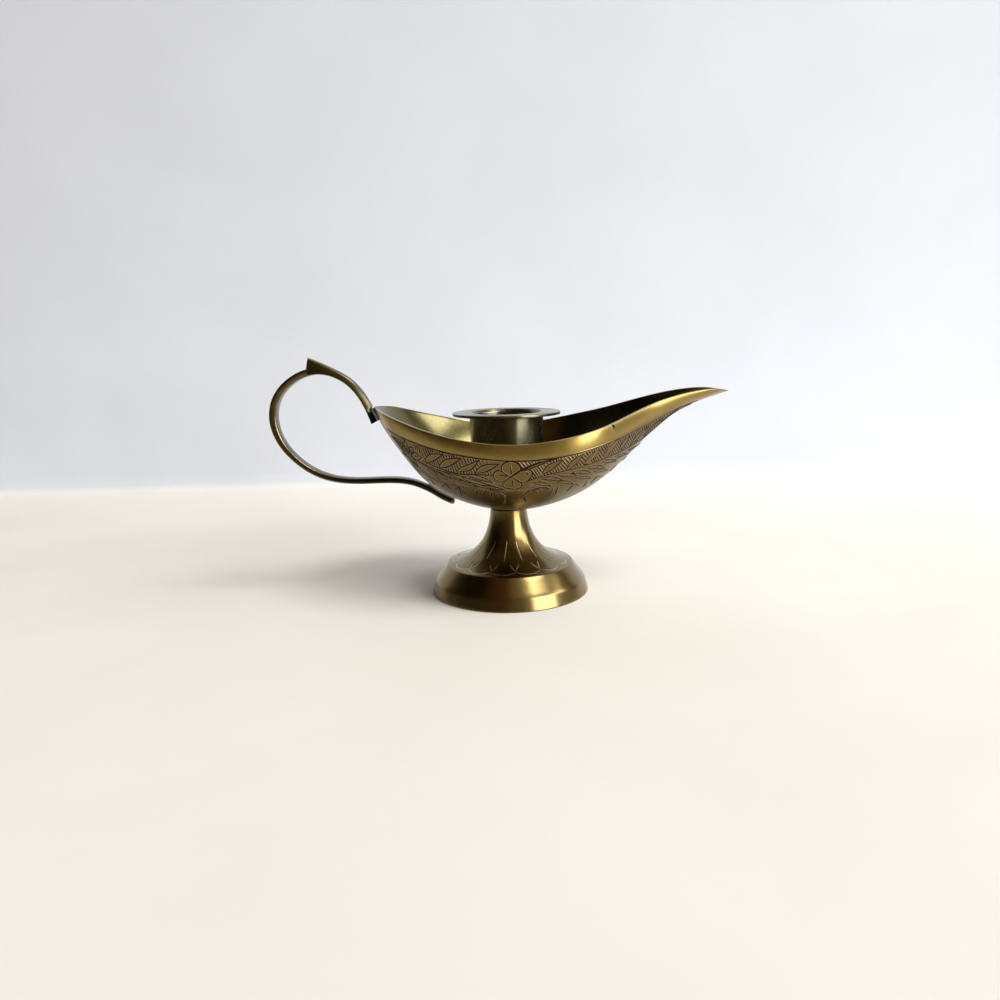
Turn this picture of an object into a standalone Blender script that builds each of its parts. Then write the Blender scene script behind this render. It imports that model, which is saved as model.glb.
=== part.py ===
"""Lamp-shaped brass candle holder, modelled as the separate pieces it is assembled from.

Metres, +Z up, table at z = 0.  The turned foot, the candle cup and the clamp screw share one
upright axis; the bowl's spout points to +X and the handle to -X.
"""
import math

import bmesh
import bpy
import numpy as np

MM = 0.001

# Clearance left between faces that touch on the real object.
GAP = 0.3 * MM

# Foot: turned and hollow, with a flared stem between a stepped base and the bowl.
FOOT_HEIGHT = 29.0 * MM
FOOT_RADIUS = 27.2 * MM
BAND_HEIGHT = 4.4 * MM
BAND_DRAFT = 1.05 * MM
STEP_RADIUS = 21.6 * MM
STEP_HEIGHT = 10.0 * MM
NECK_RADIUS = 6.2 * MM
FOOT_WALL = 1.6 * MM
WEB_THICKNESS = 5.0 * MM
FLARE_NECK_PULL = 10.0 * MM
FLARE_STEP_PULL = 10.6 * MM
FLARE_NECK_SPREAD = 0.7 * MM
FLARE_STEP_RISE = 2.0 * MM
FOOT_EDGE = 0.2 * MM

# Bowl: thin boat-shaped shell, widest beside the cup, pointed at the handle and at the spout.
BOWL_HALF_WIDTH = 35.1 * MM
BOWL_DEPTH = 25.7 * MM
BOWL_WALL = 1.1 * MM
TAIL_REACH = 44.3 * MM
TAIL_RISE = 9.8 * MM
SPOUT_REACH = 74.6 * MM
SPOUT_RISE = 12.1 * MM
RIM_LEAN = math.radians(1.5)
SEAT_DEPTH = 0.4 * MM
SPOUT_SILL = 0.3 * MM
TIP_CROWDING = 0.55

# Candle cup: turned socket with a wide drip flange.
CANDLE_BORE = 22.5 * MM
CUP_WALL = 1.1 * MM
CUP_HEIGHT = 30.8 * MM
CUP_FLOOR = 1.6 * MM
CUP_FOOT_RADIUS = 5.0 * MM
CUP_ROUNDING = 5.6 * MM
CUP_BULGE_SHARE = 0.75
CUP_HULL_CLEARANCE = 1.0 * MM
FLANGE_RADIUS = 18.15 * MM
FLANGE_THICKNESS = 0.9 * MM
MOUTH_CHAMFER = 0.8 * MM
CUP_EDGE = 0.15 * MM

# Handle: one cast strap, looped, with a raised thumb spur.  Lengths along it start at the bowl.
HANDLE_WIDTH = 5.1 * MM
LOOP_LENGTH = 32.4 * MM
LOOP_HEIGHT = 35.1 * MM
LOOP_RISE = 11.1 * MM
LOOP_THICKNESS = 2.3 * MM
LOWER_THICKNESS = 1.8 * MM
ROOT_THICKNESS = 2.5 * MM
UPPER_THICKNESS = 2.3 * MM
SPUR_HEIGHT = 6.0 * MM
SPUR_ALONG = 27.4 * MM
SPUR_RUN = 11.0 * MM
SPUR_HOLLOWNESS = 2.5
THINNING_START = 48.5 * MM
THINNING_END = 62.5 * MM
UPPER_CONTACT = 4.7 * MM
LOWER_CONTACT = 9.5 * MM
LOWER_END_INSET = 25.9 * MM
HANDLE_EDGE = 0.35 * MM

# Solder beds between the handle's ends and the bowl.
SOLDER_THICKNESS = 0.4 * MM
SOLDER_OVERHANG = 0.6 * MM

# Screw, washer and nut that clamp cup, bowl and foot together.
SCREW_RADIUS = 2.0 * MM
SCREW_HEAD_RADIUS = 3.5 * MM
SCREW_HEAD_HEIGHT = 2.0 * MM
SCREW_END = 1.6 * MM
SLOT_WIDTH = 0.9 * MM
SLOT_DEPTH = 1.0 * MM
WASHER_RADIUS = 4.2 * MM
WASHER_THICKNESS = 0.8 * MM
NUT_ACROSS_FLATS = 7.0 * MM
NUT_HEIGHT = 3.2 * MM
FIXING_EDGE = 0.2 * MM

# Fineness of the faceted surfaces.
TURN_STEPS = 56
SMALL_STEPS = 28
BOWL_STATIONS = 48
BOWL_RIBS = 12
HANDLE_STATIONS = 64
MERGE = 0.01 * MM

# Where neighbouring pieces meet, all worked out from the sizes above.
HOLE_RADIUS = SCREW_RADIUS + GAP
SEAT_Z = FOOT_HEIGHT + GAP
KEEL_Z = SEAT_Z - SEAT_DEPTH
RIM_Z = KEEL_Z + BOWL_DEPTH
WEB_Z = FOOT_HEIGHT - WEB_THICKNESS
STANDOFF = GAP + SOLDER_THICKNESS + GAP
CUP_RADIUS = CANDLE_BORE / 2 + CUP_WALL

# Rim of the bowl from tail tip to spout tip: share of the reach to that side, share of the
# half-width, and share of the rise from the lowest rim to that tip.
RIM_SHAPE = [
    (-1.0, 0.0, 1.0), (-0.914, 0.378, 0.91), (-0.70, 0.687, 0.586), (-0.361, 0.936, 0.187),
    (0.08, 1.0, 0.0), (0.322, 0.935, 0.219), (0.509, 0.62, 0.536), (0.67, 0.382, 0.857),
    (0.831, 0.273, 1.056), (0.938, 0.16, 1.08), (1.0, 0.0, 1.0),
]

# Keel of the bowl: share of the reach to that side, and share of the height from keel to tip.
KEEL_SHAPE = [
    (-1.0, 1.0), (-0.937, 0.835), (-0.79, 0.559), (-0.564, 0.239), (-0.293, 0.072),
    (0.0, 0.0), (0.174, 0.041), (0.335, 0.163), (0.482, 0.364), (0.617, 0.606),
    (0.751, 0.827), (0.885, 0.935), (1.0, 1.0),
]

# Inside edge of the handle's loop, as shares of its length beyond the bowl and of its height.
LOOP_SHAPE = [
    (0.105, 0.705), (0.27, 0.905), (0.53, 1.0), (0.80, 0.925), (0.975, 0.74),
    (0.995, 0.50), (0.81, 0.21), (0.52, 0.045), (0.21, 0.0), (-0.11, 0.0), (-0.375, -0.03),
]


def clear_scene():
    """Remove every object that the scene holds."""
    for item in list(bpy.data.objects):
        bpy.data.objects.remove(item, do_unlink=True)


def new_collection(name):
    """Make a collection under the scene's own."""
    collection = bpy.data.collections.new(name)
    bpy.context.scene.collection.children.link(collection)
    return collection


def new_material(name, colour, roughness):
    """Metal finish with one Principled shader."""
    material = bpy.data.materials.new(name)
    material.use_nodes = True
    material.diffuse_color = (*colour, 1.0)
    shader = material.node_tree.nodes["Principled BSDF"]
    shader.inputs["Base Color"].default_value = (*colour, 1.0)
    shader.inputs["Metallic"].default_value = 1.0
    shader.inputs["Roughness"].default_value = roughness
    return material


def smooth_curve(controls, shares):
    """Points of the natural cubic spline through the controls, at shares of its chord length."""
    knots = np.array(controls, dtype=float)
    steps = np.linalg.norm(np.diff(knots, axis=0), axis=1)
    places = np.concatenate(([0.0], np.cumsum(steps))) / steps.sum()
    spans = np.diff(places)[:, None]
    slopes = np.diff(knots, axis=0) / spans
    count = len(knots)
    system = np.eye(count)
    bends = np.zeros_like(knots)
    for i in range(1, count - 1):
        before, after = spans[i - 1, 0], spans[i, 0]
        system[i, i - 1:i + 2] = before, 2 * (before + after), after
        bends[i] = 6 * (slopes[i] - slopes[i - 1])
    bends = np.linalg.solve(system, bends)
    shares = np.asarray(shares, dtype=float)
    cell = np.clip(np.searchsorted(places, shares, side="right") - 1, 0, count - 2)
    ahead = (shares - places[cell])[:, None]
    behind = (places[cell + 1] - shares)[:, None]
    span = spans[cell]
    return (
        (bends[cell] * behind ** 3 + bends[cell + 1] * ahead ** 3) / (6 * span)
        + (knots[cell] / span - bends[cell] * span / 6) * behind
        + (knots[cell + 1] / span - bends[cell + 1] * span / 6) * ahead
    )


def offset_path(path, distance):
    """Path moved to the left of its direction of travel by a distance, or one for each point."""
    path = np.asarray(path, dtype=float)
    along = np.gradient(path, axis=0)
    along /= np.linalg.norm(along, axis=1)[:, None]
    left = np.stack([-along[:, 1], along[:, 0]], axis=1)
    return path + left * np.broadcast_to(distance, len(path))[:, None]


def reach_x(share):
    """X of a share of the bowl's reach, towards the tail or the spout."""
    return share * (SPOUT_REACH if share > 0 else TAIL_REACH)


def rim_controls():
    """Control points (x, half-width, z) of the bowl's outer rim."""
    points = []
    for reach, width, rise in RIM_SHAPE:
        tip_rise = SPOUT_RISE if reach > 0 else TAIL_RISE
        points.append((reach_x(reach), width * BOWL_HALF_WIDTH, RIM_Z + rise * tip_rise))
    return points


def keel_controls():
    """Control points (x, z) of the bowl's outer keel."""
    points = []
    for reach, rise in KEEL_SHAPE:
        tip_rise = SPOUT_RISE if reach > 0 else TAIL_RISE
        points.append((reach_x(reach), KEEL_Z + rise * (BOWL_DEPTH + tip_rise)))
    return points


def rib(keel_point, rim_point):
    """Points of one rib: a leaning arc from the keel (x, z) up to the rim (x, y, z)."""
    turn = np.linspace(0.0, math.pi / 2 - RIM_LEAN, BOWL_RIBS)
    out = np.sin(turn) / np.sin(turn[-1])
    up = (1 - np.cos(turn)) / (1 - np.cos(turn[-1]))
    x = keel_point[0] + (rim_point[0] - keel_point[0]) * up
    z = keel_point[1] + (rim_point[2] - keel_point[1]) * up
    return np.stack([x, rim_point[1] * out, z], axis=1)


def inner_guides(shares):
    """Rim and keel of the bowl's inside, set in by the wall from the outer ones."""
    fine = np.linspace(0.0, 1.0, 801)
    rim = smooth_curve(rim_controls(), fine)
    plan = offset_path(rim[:, :2], -BOWL_WALL)
    inside = np.nonzero(plan[:, 1] > 0)[0]
    first, last = fine[inside[0]], fine[inside[-1]]
    places = first + (last - first) * shares
    inner_rim = np.stack([
        np.interp(places, fine, plan[:, 0]),
        np.interp(places, fine, plan[:, 1]),
        np.interp(places, fine, rim[:, 2]),
    ], axis=1)
    inner_rim[[0, -1], 1] = 0.0
    keel = offset_path(smooth_curve(keel_controls(), fine), BOWL_WALL)
    middle = len(fine) // 2
    tail_top, spout_top = inner_rim[0, 2], inner_rim[-1, 2] - SPOUT_SILL
    start = np.interp(-tail_top, -keel[:middle, 1], fine[:middle])
    end = np.interp(spout_top, keel[middle:, 1], fine[middle:])
    places = start + (end - start) * shares
    inner_keel = np.stack([
        np.interp(places, fine, keel[:, 0]),
        np.interp(places, fine, keel[:, 1]),
    ], axis=1)
    return inner_keel, inner_rim


def inner_floor_height(radius):
    """Highest point of the bowl's inside floor within a radius of the upright axis."""
    shares = np.linspace(0.0, 1.0, 401)
    keel, rim = inner_guides(shares)
    near = np.abs(keel[:, 0]) <= radius
    along = keel[near, 1].max()
    middle = int(np.argmin(np.abs(keel[:, 0])))
    across = rib(keel[middle], rim[middle])
    return max(along, float(np.interp(radius, across[:, 1], across[:, 2])))


def mesh_object(name, mesh, material, collection, parent):
    """Wrap a mesh in an object with its own material, under a parent."""
    item = bpy.data.objects.new(name, mesh)
    item.data.materials.append(material)
    collection.objects.link(item)
    item.parent = parent
    return item


def turned(name, profile, material, collection, parent, steps=TURN_STEPS, edge=0.0):
    """Turn an (r, z) profile about Z; it runs down its outer side, closed or from axis to axis."""
    mesh = bpy.data.meshes.new(name)
    points = [(radius, 0.0, height) for radius, height in profile]
    edges = [(i, i + 1) for i in range(len(points) - 1)]
    if profile[0][0] > MERGE:
        edges.append((len(points) - 1, 0))
    mesh.from_pydata(points, edges, [])
    item = mesh_object(name, mesh, material, collection, parent)
    turn = item.modifiers.new("turn", "SCREW")
    turn.axis = "Z"
    turn.angle = math.tau
    turn.steps = steps
    turn.render_steps = steps
    turn.use_merge_vertices = True
    turn.merge_threshold = MERGE
    turn.use_smooth_shade = True
    if edge:
        bevel_edges(item, edge)
    return item


def bevel_edges(item, width):
    """Ease the sharp edges of a piece."""
    bevel = item.modifiers.new("eased edges", "BEVEL")
    bevel.limit_method = "ANGLE"
    bevel.angle_limit = math.radians(35)
    bevel.width = width
    bevel.segments = 1


def cylinder_mesh(name, radius, bottom, top, segments):
    """Upright closed cylinder between two heights."""
    shape = bmesh.new()
    bmesh.ops.create_cone(
        shape, cap_ends=True, segments=segments, radius1=radius, radius2=radius,
        depth=top - bottom,
    )
    bmesh.ops.translate(shape, verts=shape.verts, vec=(0, 0, (top + bottom) / 2))
    mesh = bpy.data.meshes.new(name)
    shape.to_mesh(mesh)
    shape.free()
    return mesh


def cut(item, cutter):
    """Take a cutter's shape out of a piece."""
    cutter.hide_render = True
    cutter.display_type = "WIRE"
    boolean = item.modifiers.new("cut " + cutter.name, "BOOLEAN")
    boolean.operation = "DIFFERENCE"
    boolean.solver = "EXACT"
    boolean.object = cutter


def side_outline(name, outline, width, edge, material, collection, parent):
    """Flat (x, z) outline made as thick as the width across Y, with eased edges."""
    curve = bpy.data.curves.new(name, "CURVE")
    curve.dimensions = "2D"
    curve.fill_mode = "BOTH"
    curve.extrude = width / 2 - edge
    curve.bevel_depth = edge
    curve.bevel_resolution = 1 if edge else 0
    curve.offset = -edge
    spline = curve.splines.new("POLY")
    spline.points.add(len(outline) - 1)
    for point, (x, z) in zip(spline.points, outline):
        point.co = (x, z, 0.0, 1.0)
    spline.use_cyclic_u = True
    item = bpy.data.objects.new(name, curve)
    curve.materials.append(material)
    collection.objects.link(item)
    item.rotation_euler = (math.pi / 2, 0.0, 0.0)
    item.parent = parent
    return item


def arc(centre, radii, start, end, count):
    """Points of an elliptical arc between two angles in degrees."""
    turn = np.radians(np.linspace(start, end, count))
    return [
        (centre[0] + radii[0] * math.cos(a), centre[1] + radii[1] * math.sin(a)) for a in turn
    ]


def foot_outside():
    """Outer profile of the foot from the neck's top edge down to the table."""
    neck = np.array([NECK_RADIUS, FOOT_HEIGHT])
    step = np.array([STEP_RADIUS, STEP_HEIGHT])
    neck_pull = neck + (FLARE_NECK_SPREAD, -FLARE_NECK_PULL)
    step_pull = step + (-FLARE_STEP_PULL, FLARE_STEP_RISE)
    flare = []
    for t in np.linspace(0.0, 1.0, 15):
        left = 1 - t
        point = (
            left ** 3 * neck + 3 * left ** 2 * t * neck_pull
            + 3 * left * t ** 2 * step_pull + t ** 3 * step
        )
        flare.append(tuple(point))
    return flare + [(FOOT_RADIUS - BAND_DRAFT, BAND_HEIGHT), (FOOT_RADIUS, 0.0)]


def make_foot(material, collection, parent):
    """Hollow turned foot: flared stem, step, sloping shoulder and plain band."""
    outside = foot_outside()
    inside = offset_path(outside, -FOOT_WALL)
    below = [tuple(point) for point in inside[:-1] if point[1] < WEB_Z]
    web_radius = float(np.interp(-WEB_Z, -inside[:, 1], inside[:, 0]))
    hollow = [(HOLE_RADIUS, WEB_Z), (web_radius, WEB_Z)] + below
    ring = [(FOOT_RADIUS - FOOT_WALL, 0.0)]
    profile = [(HOLE_RADIUS, FOOT_HEIGHT)] + outside + ring + hollow[::-1]
    return turned("foot", profile, material, collection, parent, edge=FOOT_EDGE)


def make_bowl(material, collection, cutters, parent):
    """Boat-shaped shell lofted rib by rib, mirrored, with a flat seat and a screw hole."""
    even = np.linspace(0.0, 1.0, BOWL_STATIONS)
    crowded = 0.5 - 0.5 * np.cos(even * math.pi)
    shares = even + (crowded - even) * TIP_CROWDING
    outer_rim = smooth_curve(rim_controls(), shares)
    outer_keel = smooth_curve(keel_controls(), shares)
    inner_keel, inner_rim = inner_guides(shares)
    shape = bmesh.new()
    skins = []
    for keel, rim in ((outer_keel, outer_rim), (inner_keel, inner_rim)):
        skin = [[shape.verts.new(p) for p in rib(k, r)] for k, r in zip(keel, rim)]
        skins.append(skin)
    outer, inner = skins
    for i in range(BOWL_STATIONS - 1):
        for j in range(BOWL_RIBS - 1):
            shape.faces.new((outer[i][j], outer[i + 1][j], outer[i + 1][j + 1], outer[i][j + 1]))
            shape.faces.new((inner[i][j], inner[i][j + 1], inner[i + 1][j + 1], inner[i + 1][j]))
        shape.faces.new((outer[i][-1], outer[i + 1][-1], inner[i + 1][-1], inner[i][-1]))
    for vert in shape.verts:
        if abs(vert.co.y) < MERGE:
            vert.co.y = 0.0
    bmesh.ops.remove_doubles(shape, verts=shape.verts, dist=MERGE)
    bmesh.ops.dissolve_degenerate(shape, edges=shape.edges, dist=MERGE / 10)
    mesh = bpy.data.meshes.new("bowl")
    shape.to_mesh(mesh)
    shape.free()
    mesh.shade_smooth()
    bowl = mesh_object("bowl", mesh, material, collection, parent)
    mirror = bowl.modifiers.new("both sides", "MIRROR")
    mirror.use_axis = (False, True, False)
    mirror.use_clip = True
    mirror.merge_threshold = MERGE
    seat = cylinder_mesh("seat_cutter", NECK_RADIUS + BOWL_WALL, WEB_Z, SEAT_Z, TURN_STEPS)
    hole = cylinder_mesh("bowl_hole_cutter", HOLE_RADIUS, WEB_Z, RIM_Z, SMALL_STEPS)
    for mesh in (seat, hole):
        cut(bowl, mesh_object(mesh.name, mesh, material, cutters, parent))
    return bowl


def make_candle_cup(material, collection, parent):
    """Turned socket: rounded underside on a small foot, straight wall and drip flange."""
    base = inner_floor_height(CUP_FOOT_RADIUS) + GAP
    lift = inner_floor_height(CUP_RADIUS * CUP_BULGE_SHARE) + CUP_HULL_CLEARANCE
    top = base + CUP_HEIGHT
    under = top - FLANGE_THICKNESS
    bore = CANDLE_BORE / 2
    floor = lift + CUP_FLOOR
    outside = arc(
        (CUP_FOOT_RADIUS, lift + CUP_ROUNDING), (CUP_RADIUS - CUP_FOOT_RADIUS, CUP_ROUNDING),
        0, -90, 9,
    )
    inside = arc(
        (CUP_FOOT_RADIUS, floor + CUP_ROUNDING - CUP_WALL),
        (bore - CUP_FOOT_RADIUS, CUP_ROUNDING - CUP_WALL), -90, 0, 9,
    )
    profile = [(bore + MOUTH_CHAMFER, top), (FLANGE_RADIUS, top), (FLANGE_RADIUS, under)]
    profile += [(CUP_RADIUS, under)] + outside
    profile += [(CUP_FOOT_RADIUS, base), (HOLE_RADIUS, base), (HOLE_RADIUS, floor)]
    profile += inside + [(bore, top - MOUTH_CHAMFER)]
    cup = turned("candle_cup", profile, material, collection, parent, edge=CUP_EDGE)
    return cup, floor, top


def tail_keel():
    """Tail half of the keel as close points, with their arc lengths down from the tail tip."""
    points = smooth_curve(keel_controls(), np.linspace(0.0, 0.5, 401))
    steps = np.linalg.norm(np.diff(points, axis=0), axis=1)
    return points, np.concatenate(([0.0], np.cumsum(steps)))


def keel_side(distance, first, last, count):
    """Points set out from the tail half of the keel, between two arc lengths."""
    points, length = tail_keel()
    moved = offset_path(points, -distance)
    places = np.linspace(first, last, count)
    return [
        (float(np.interp(p, length, moved[:, 0])), float(np.interp(p, length, moved[:, 1])))
        for p in places
    ]


def lower_contact():
    """Arc lengths down the keel between which the handle's lower end lies along it."""
    points, length = tail_keel()
    end = float(np.interp(LOWER_END_INSET - TAIL_REACH, points[:, 0], length))
    return end - LOWER_CONTACT, end


def rounded_end(start, end):
    """Points of the half round that closes a strap between its two edges."""
    middle = (start + end) / 2
    across = start - middle
    ahead = np.array([-across[1], across[0]])
    turn = np.radians((45, 90, 135))
    return [middle + across * math.cos(a) - ahead * math.sin(a) for a in turn]


def make_handle(material, collection, parent):
    """Looped strap: its inside edge is one curve, and its outside edge lies a thickness away."""
    tail_z = RIM_Z + TAIL_RISE
    loop_bottom = tail_z + LOOP_RISE - LOOP_HEIGHT
    root = keel_side(STANDOFF + ROOT_THICKNESS - HANDLE_EDGE, UPPER_CONTACT, UPPER_CONTACT, 1)
    loop = [(-TAIL_REACH - x * LOOP_LENGTH, loop_bottom + z * LOOP_HEIGHT) for x, z in LOOP_SHAPE]
    first, last = lower_contact()
    landing = keel_side(STANDOFF, first, last, 4)
    controls = root + loop + landing[1:]
    run = np.linalg.norm(np.diff(controls, axis=0), axis=1).sum()
    spur = SPUR_ALONG / run
    after = round((1 - spur) * HANDLE_STATIONS)
    shares = np.concatenate((
        np.linspace(0.0, spur, HANDLE_STATIONS - after, endpoint=False),
        np.linspace(spur, 1.0, after),
    ))
    inside = smooth_curve(controls, shares)
    upper = shares <= spur
    along = shares * run
    swell = np.clip((along - SPUR_ALONG + SPUR_RUN) / SPUR_RUN, 0.0, 1.0) ** SPUR_HOLLOWNESS
    thickness = np.where(
        upper,
        np.interp(along, (0.0, SPUR_ALONG / 3), (ROOT_THICKNESS, UPPER_THICKNESS))
        + swell * (SPUR_HEIGHT - UPPER_THICKNESS),
        np.interp(along, (THINNING_START, THINNING_END), (LOOP_THICKNESS, LOWER_THICKNESS)),
    )
    outside = offset_path(inside, -thickness)
    spur_foot = offset_path(inside, -LOOP_THICKNESS)[upper][-1]
    ridge = [point for point in outside[upper][::-1] if point[1] > tail_z + GAP]
    contact = keel_side(STANDOFF, 0.0, UPPER_CONTACT, 5)
    outline = list(inside) + rounded_end(inside[-1], outside[-1])
    outline += list(outside[~upper][::-1]) + [spur_foot] + ridge + contact
    return side_outline(
        "handle", outline, HANDLE_WIDTH, HANDLE_EDGE, material, collection, parent,
    )


def make_solder(name, first, last, material, collection, parent):
    """Thin bed of solder along the keel, between the handle's end and the bowl."""
    near = keel_side(GAP, first, last, 7)
    far = keel_side(GAP + SOLDER_THICKNESS, first, last, 7)
    width = HANDLE_WIDTH + 2 * SOLDER_OVERHANG
    return side_outline(name, near + far[::-1], width, 0.0, material, collection, parent)


def make_screw(material, collection, cutters, parent, floor):
    """Slotted cheese-head screw from the cup's floor down through bowl and foot."""
    under = floor + GAP
    top = under + SCREW_HEAD_HEIGHT
    end = WEB_Z - GAP - WASHER_THICKNESS - GAP - NUT_HEIGHT - SCREW_END
    chamfer = SCREW_RADIUS / 4
    profile = [
        (0.0, top), (SCREW_HEAD_RADIUS, top), (SCREW_HEAD_RADIUS, under), (SCREW_RADIUS, under),
        (SCREW_RADIUS, end + chamfer), (SCREW_RADIUS - chamfer, end), (0.0, end),
    ]
    screw = turned("clamp_screw", profile, material, collection, parent, SMALL_STEPS, FIXING_EDGE)
    shape = bmesh.new()
    bmesh.ops.create_cube(shape, size=1.0)
    bmesh.ops.scale(
        shape, vec=(SCREW_HEAD_RADIUS * 3, SLOT_WIDTH, SLOT_DEPTH * 2), verts=shape.verts,
    )
    bmesh.ops.translate(shape, vec=(0.0, 0.0, top), verts=shape.verts)
    mesh = bpy.data.meshes.new("slot_cutter")
    shape.to_mesh(mesh)
    shape.free()
    cut(screw, mesh_object("slot_cutter", mesh, material, cutters, parent))
    return screw


def make_washer(material, collection, parent):
    """Flat washer against the web inside the foot."""
    top = WEB_Z - GAP
    bottom = top - WASHER_THICKNESS
    profile = [
        (HOLE_RADIUS, top), (WASHER_RADIUS, top), (WASHER_RADIUS, bottom), (HOLE_RADIUS, bottom),
    ]
    return turned("clamp_washer", profile, material, collection, parent, SMALL_STEPS, FIXING_EDGE / 2)


def make_nut(material, collection, cutters, parent):
    """Hexagon nut under the washer."""
    top = WEB_Z - GAP - WASHER_THICKNESS - GAP
    mesh = cylinder_mesh("clamp_nut", NUT_ACROSS_FLATS / math.sqrt(3), top - NUT_HEIGHT, top, 6)
    nut = mesh_object("clamp_nut", mesh, material, collection, parent)
    bevel_edges(nut, FIXING_EDGE)
    below = top - 2 * NUT_HEIGHT
    bore = cylinder_mesh("nut_cutter", HOLE_RADIUS, below, top + NUT_HEIGHT, SMALL_STEPS)
    cut(nut, mesh_object("nut_cutter", bore, material, cutters, parent))
    return nut


def build():
    """Make every piece and stand them over the middle of the outline."""
    clear_scene()
    pieces = new_collection("genie_lamp_candle_holder")
    cutters = new_collection("cutters")
    cast = new_material("aged brass casting", (0.36, 0.27, 0.10), 0.34)
    turned_brass = new_material("turned brass", (0.40, 0.30, 0.12), 0.28)
    strap = new_material("handle brass", (0.30, 0.22, 0.09), 0.36)
    solder = new_material("tin solder", (0.36, 0.36, 0.35), 0.45)
    steel = new_material("brassed steel fixing", (0.34, 0.28, 0.16), 0.40)
    axis = bpy.data.objects.new("lamp_axis", None)
    pieces.objects.link(axis)
    handle_reach = TAIL_REACH + LOOP_LENGTH + LOOP_THICKNESS
    axis.location.x = (handle_reach - SPOUT_REACH) / 2

    make_foot(turned_brass, pieces, axis)
    make_bowl(cast, pieces, cutters, axis)
    cup, floor, cup_top = make_candle_cup(turned_brass, pieces, axis)
    make_handle(strap, pieces, axis)
    make_solder("handle_solder_upper", MERGE, UPPER_CONTACT, solder, pieces, axis)
    make_solder("handle_solder_lower", *lower_contact(), solder, pieces, axis)
    make_screw(steel, pieces, cutters, axis, floor)
    make_washer(steel, pieces, axis)
    make_nut(steel, pieces, cutters, axis)


build()
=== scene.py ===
"""Lamp-shaped candle holder in aged brass: its finished surfaces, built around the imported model.

Metres, +Z up.  The spout points to +X and the handle to -X; the side towards -Y is the front.
"""
import math
import random

import bpy
import bmesh
import numpy as np
from mathutils import Matrix, Vector


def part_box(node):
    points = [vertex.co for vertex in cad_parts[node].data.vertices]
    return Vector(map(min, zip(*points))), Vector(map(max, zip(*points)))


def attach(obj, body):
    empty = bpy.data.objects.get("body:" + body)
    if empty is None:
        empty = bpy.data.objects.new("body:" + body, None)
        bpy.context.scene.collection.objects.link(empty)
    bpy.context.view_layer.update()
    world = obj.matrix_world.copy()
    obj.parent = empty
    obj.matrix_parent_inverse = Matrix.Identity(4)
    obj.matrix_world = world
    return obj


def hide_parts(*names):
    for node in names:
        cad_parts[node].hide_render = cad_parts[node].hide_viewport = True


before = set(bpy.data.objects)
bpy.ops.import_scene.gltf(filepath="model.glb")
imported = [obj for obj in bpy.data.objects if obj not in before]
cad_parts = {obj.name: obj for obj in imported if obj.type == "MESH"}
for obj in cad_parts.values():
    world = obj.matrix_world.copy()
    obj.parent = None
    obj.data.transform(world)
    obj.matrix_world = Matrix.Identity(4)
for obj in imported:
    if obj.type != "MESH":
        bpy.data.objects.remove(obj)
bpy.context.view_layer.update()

MM = 0.001


# The room: a pale tabletop that turns up into a pale wall behind, in a small cove.  The rest of the
# room is dim; three soft panes at the right light everything, and the camera stands at the open front.
CAMERA_PLACE = (-0.67 * MM, -258 * MM, 82 * MM)
CAMERA_PITCH = math.radians(11.1)
CAMERA_ROLL = math.radians(-1.5)
CAMERA_LENS = 27.54
CAMERA_SENSOR = 36.0
TABLE_HALF = 800 * MM
TABLE_FRONT = -700 * MM
WALL_PLACE = 222 * MM
WALL_TOP = 700 * MM
COVE = 10 * MM
TABLE_COLOUR = (0.90, 0.89, 0.86)
WALL_COLOUR = (0.66, 0.70, 0.785)
# Painted shade: away from the candle holder the tabletop and wall paint turns to this dark brown,
# standing in for light falling off across the room.
PAINTED_SHADE_BROWN = (0.15, 0.09, 0.05)
LAMP_AIM = Vector((0.0, 0.0, 0.04))
LAMP_COLOUR = (1.0, 0.99, 0.965)
PANES = [
    ("window", (1.80, -1.48, 0.60), 1.50, 1.36, 56.5),
    ("side_pane", (2.14, -0.38, 1.05), 0.88, 0.76, 14.5),
    ("upper_pane", (1.15, -0.65, 2.07), 0.98, 0.76, 25.0),
]
ROOM_TONES = [
    (-180, (0.20, 0.20, 0.20)), (-114, (0.09, 0.09, 0.07)), (-94, (0.014, 0.013, 0.010)),
    (-58, (0.012, 0.008, 0.006)), (-38, (0.08, 0.036, 0.018)), (-10, (0.10, 0.052, 0.026)),
    (8, (0.28, 0.21, 0.10)), (40, (0.40, 0.35, 0.24)), (80, (0.34, 0.32, 0.25)),
    (125, (0.36, 0.34, 0.28)), (180, (0.20, 0.20, 0.20)),
]


def feed(tree, node, sockets):
    """Fill a node's inputs: an output is linked to its socket, anything else becomes its value."""
    for key, value in sockets.items():
        socket = node.inputs[key]
        if isinstance(value, bpy.types.NodeSocket):
            tree.links.new(value, socket)
        else:
            socket.default_value = (*value, 1.0) if socket.type == "RGBA" else value


def node_in(tree, kind, sockets=None, **settings):
    """Add a shader node, set its plain properties, fill its inputs and give its outputs."""
    made = tree.nodes.new("ShaderNode" + kind)
    for key, value in settings.items():
        setattr(made, key, value)
    feed(tree, made, sockets or {})
    return made.outputs


def noise_in(tree, place, scale, detail, roughness=0.5):
    """Cloudy noise over a place."""
    return node_in(tree, "TexNoise", {
        "Vector": place, "Scale": scale, "Detail": detail, "Roughness": roughness,
    })["Fac"]


def span_in(tree, value, low, high, start=0.0, end=1.0, **settings):
    """Value that runs from start to end while another runs from low to high."""
    return node_in(tree, "MapRange", {
        "Value": value, "From Min": low, "From Max": high, "To Min": start, "To Max": end,
    }, **settings)["Result"]


def mix_in(tree, share, first, second, kind="RGBA"):
    """Mix of two colours, or of two numbers with kind FLOAT, by a share."""
    return node_in(tree, "Mix", {"Factor": share, "A": first, "B": second}, data_type=kind)["Result"]


def math_in(tree, operation, *values):
    """Result of a sum on numbers."""
    return node_in(tree, "Math", dict(enumerate(values)), operation=operation)["Value"]


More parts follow.
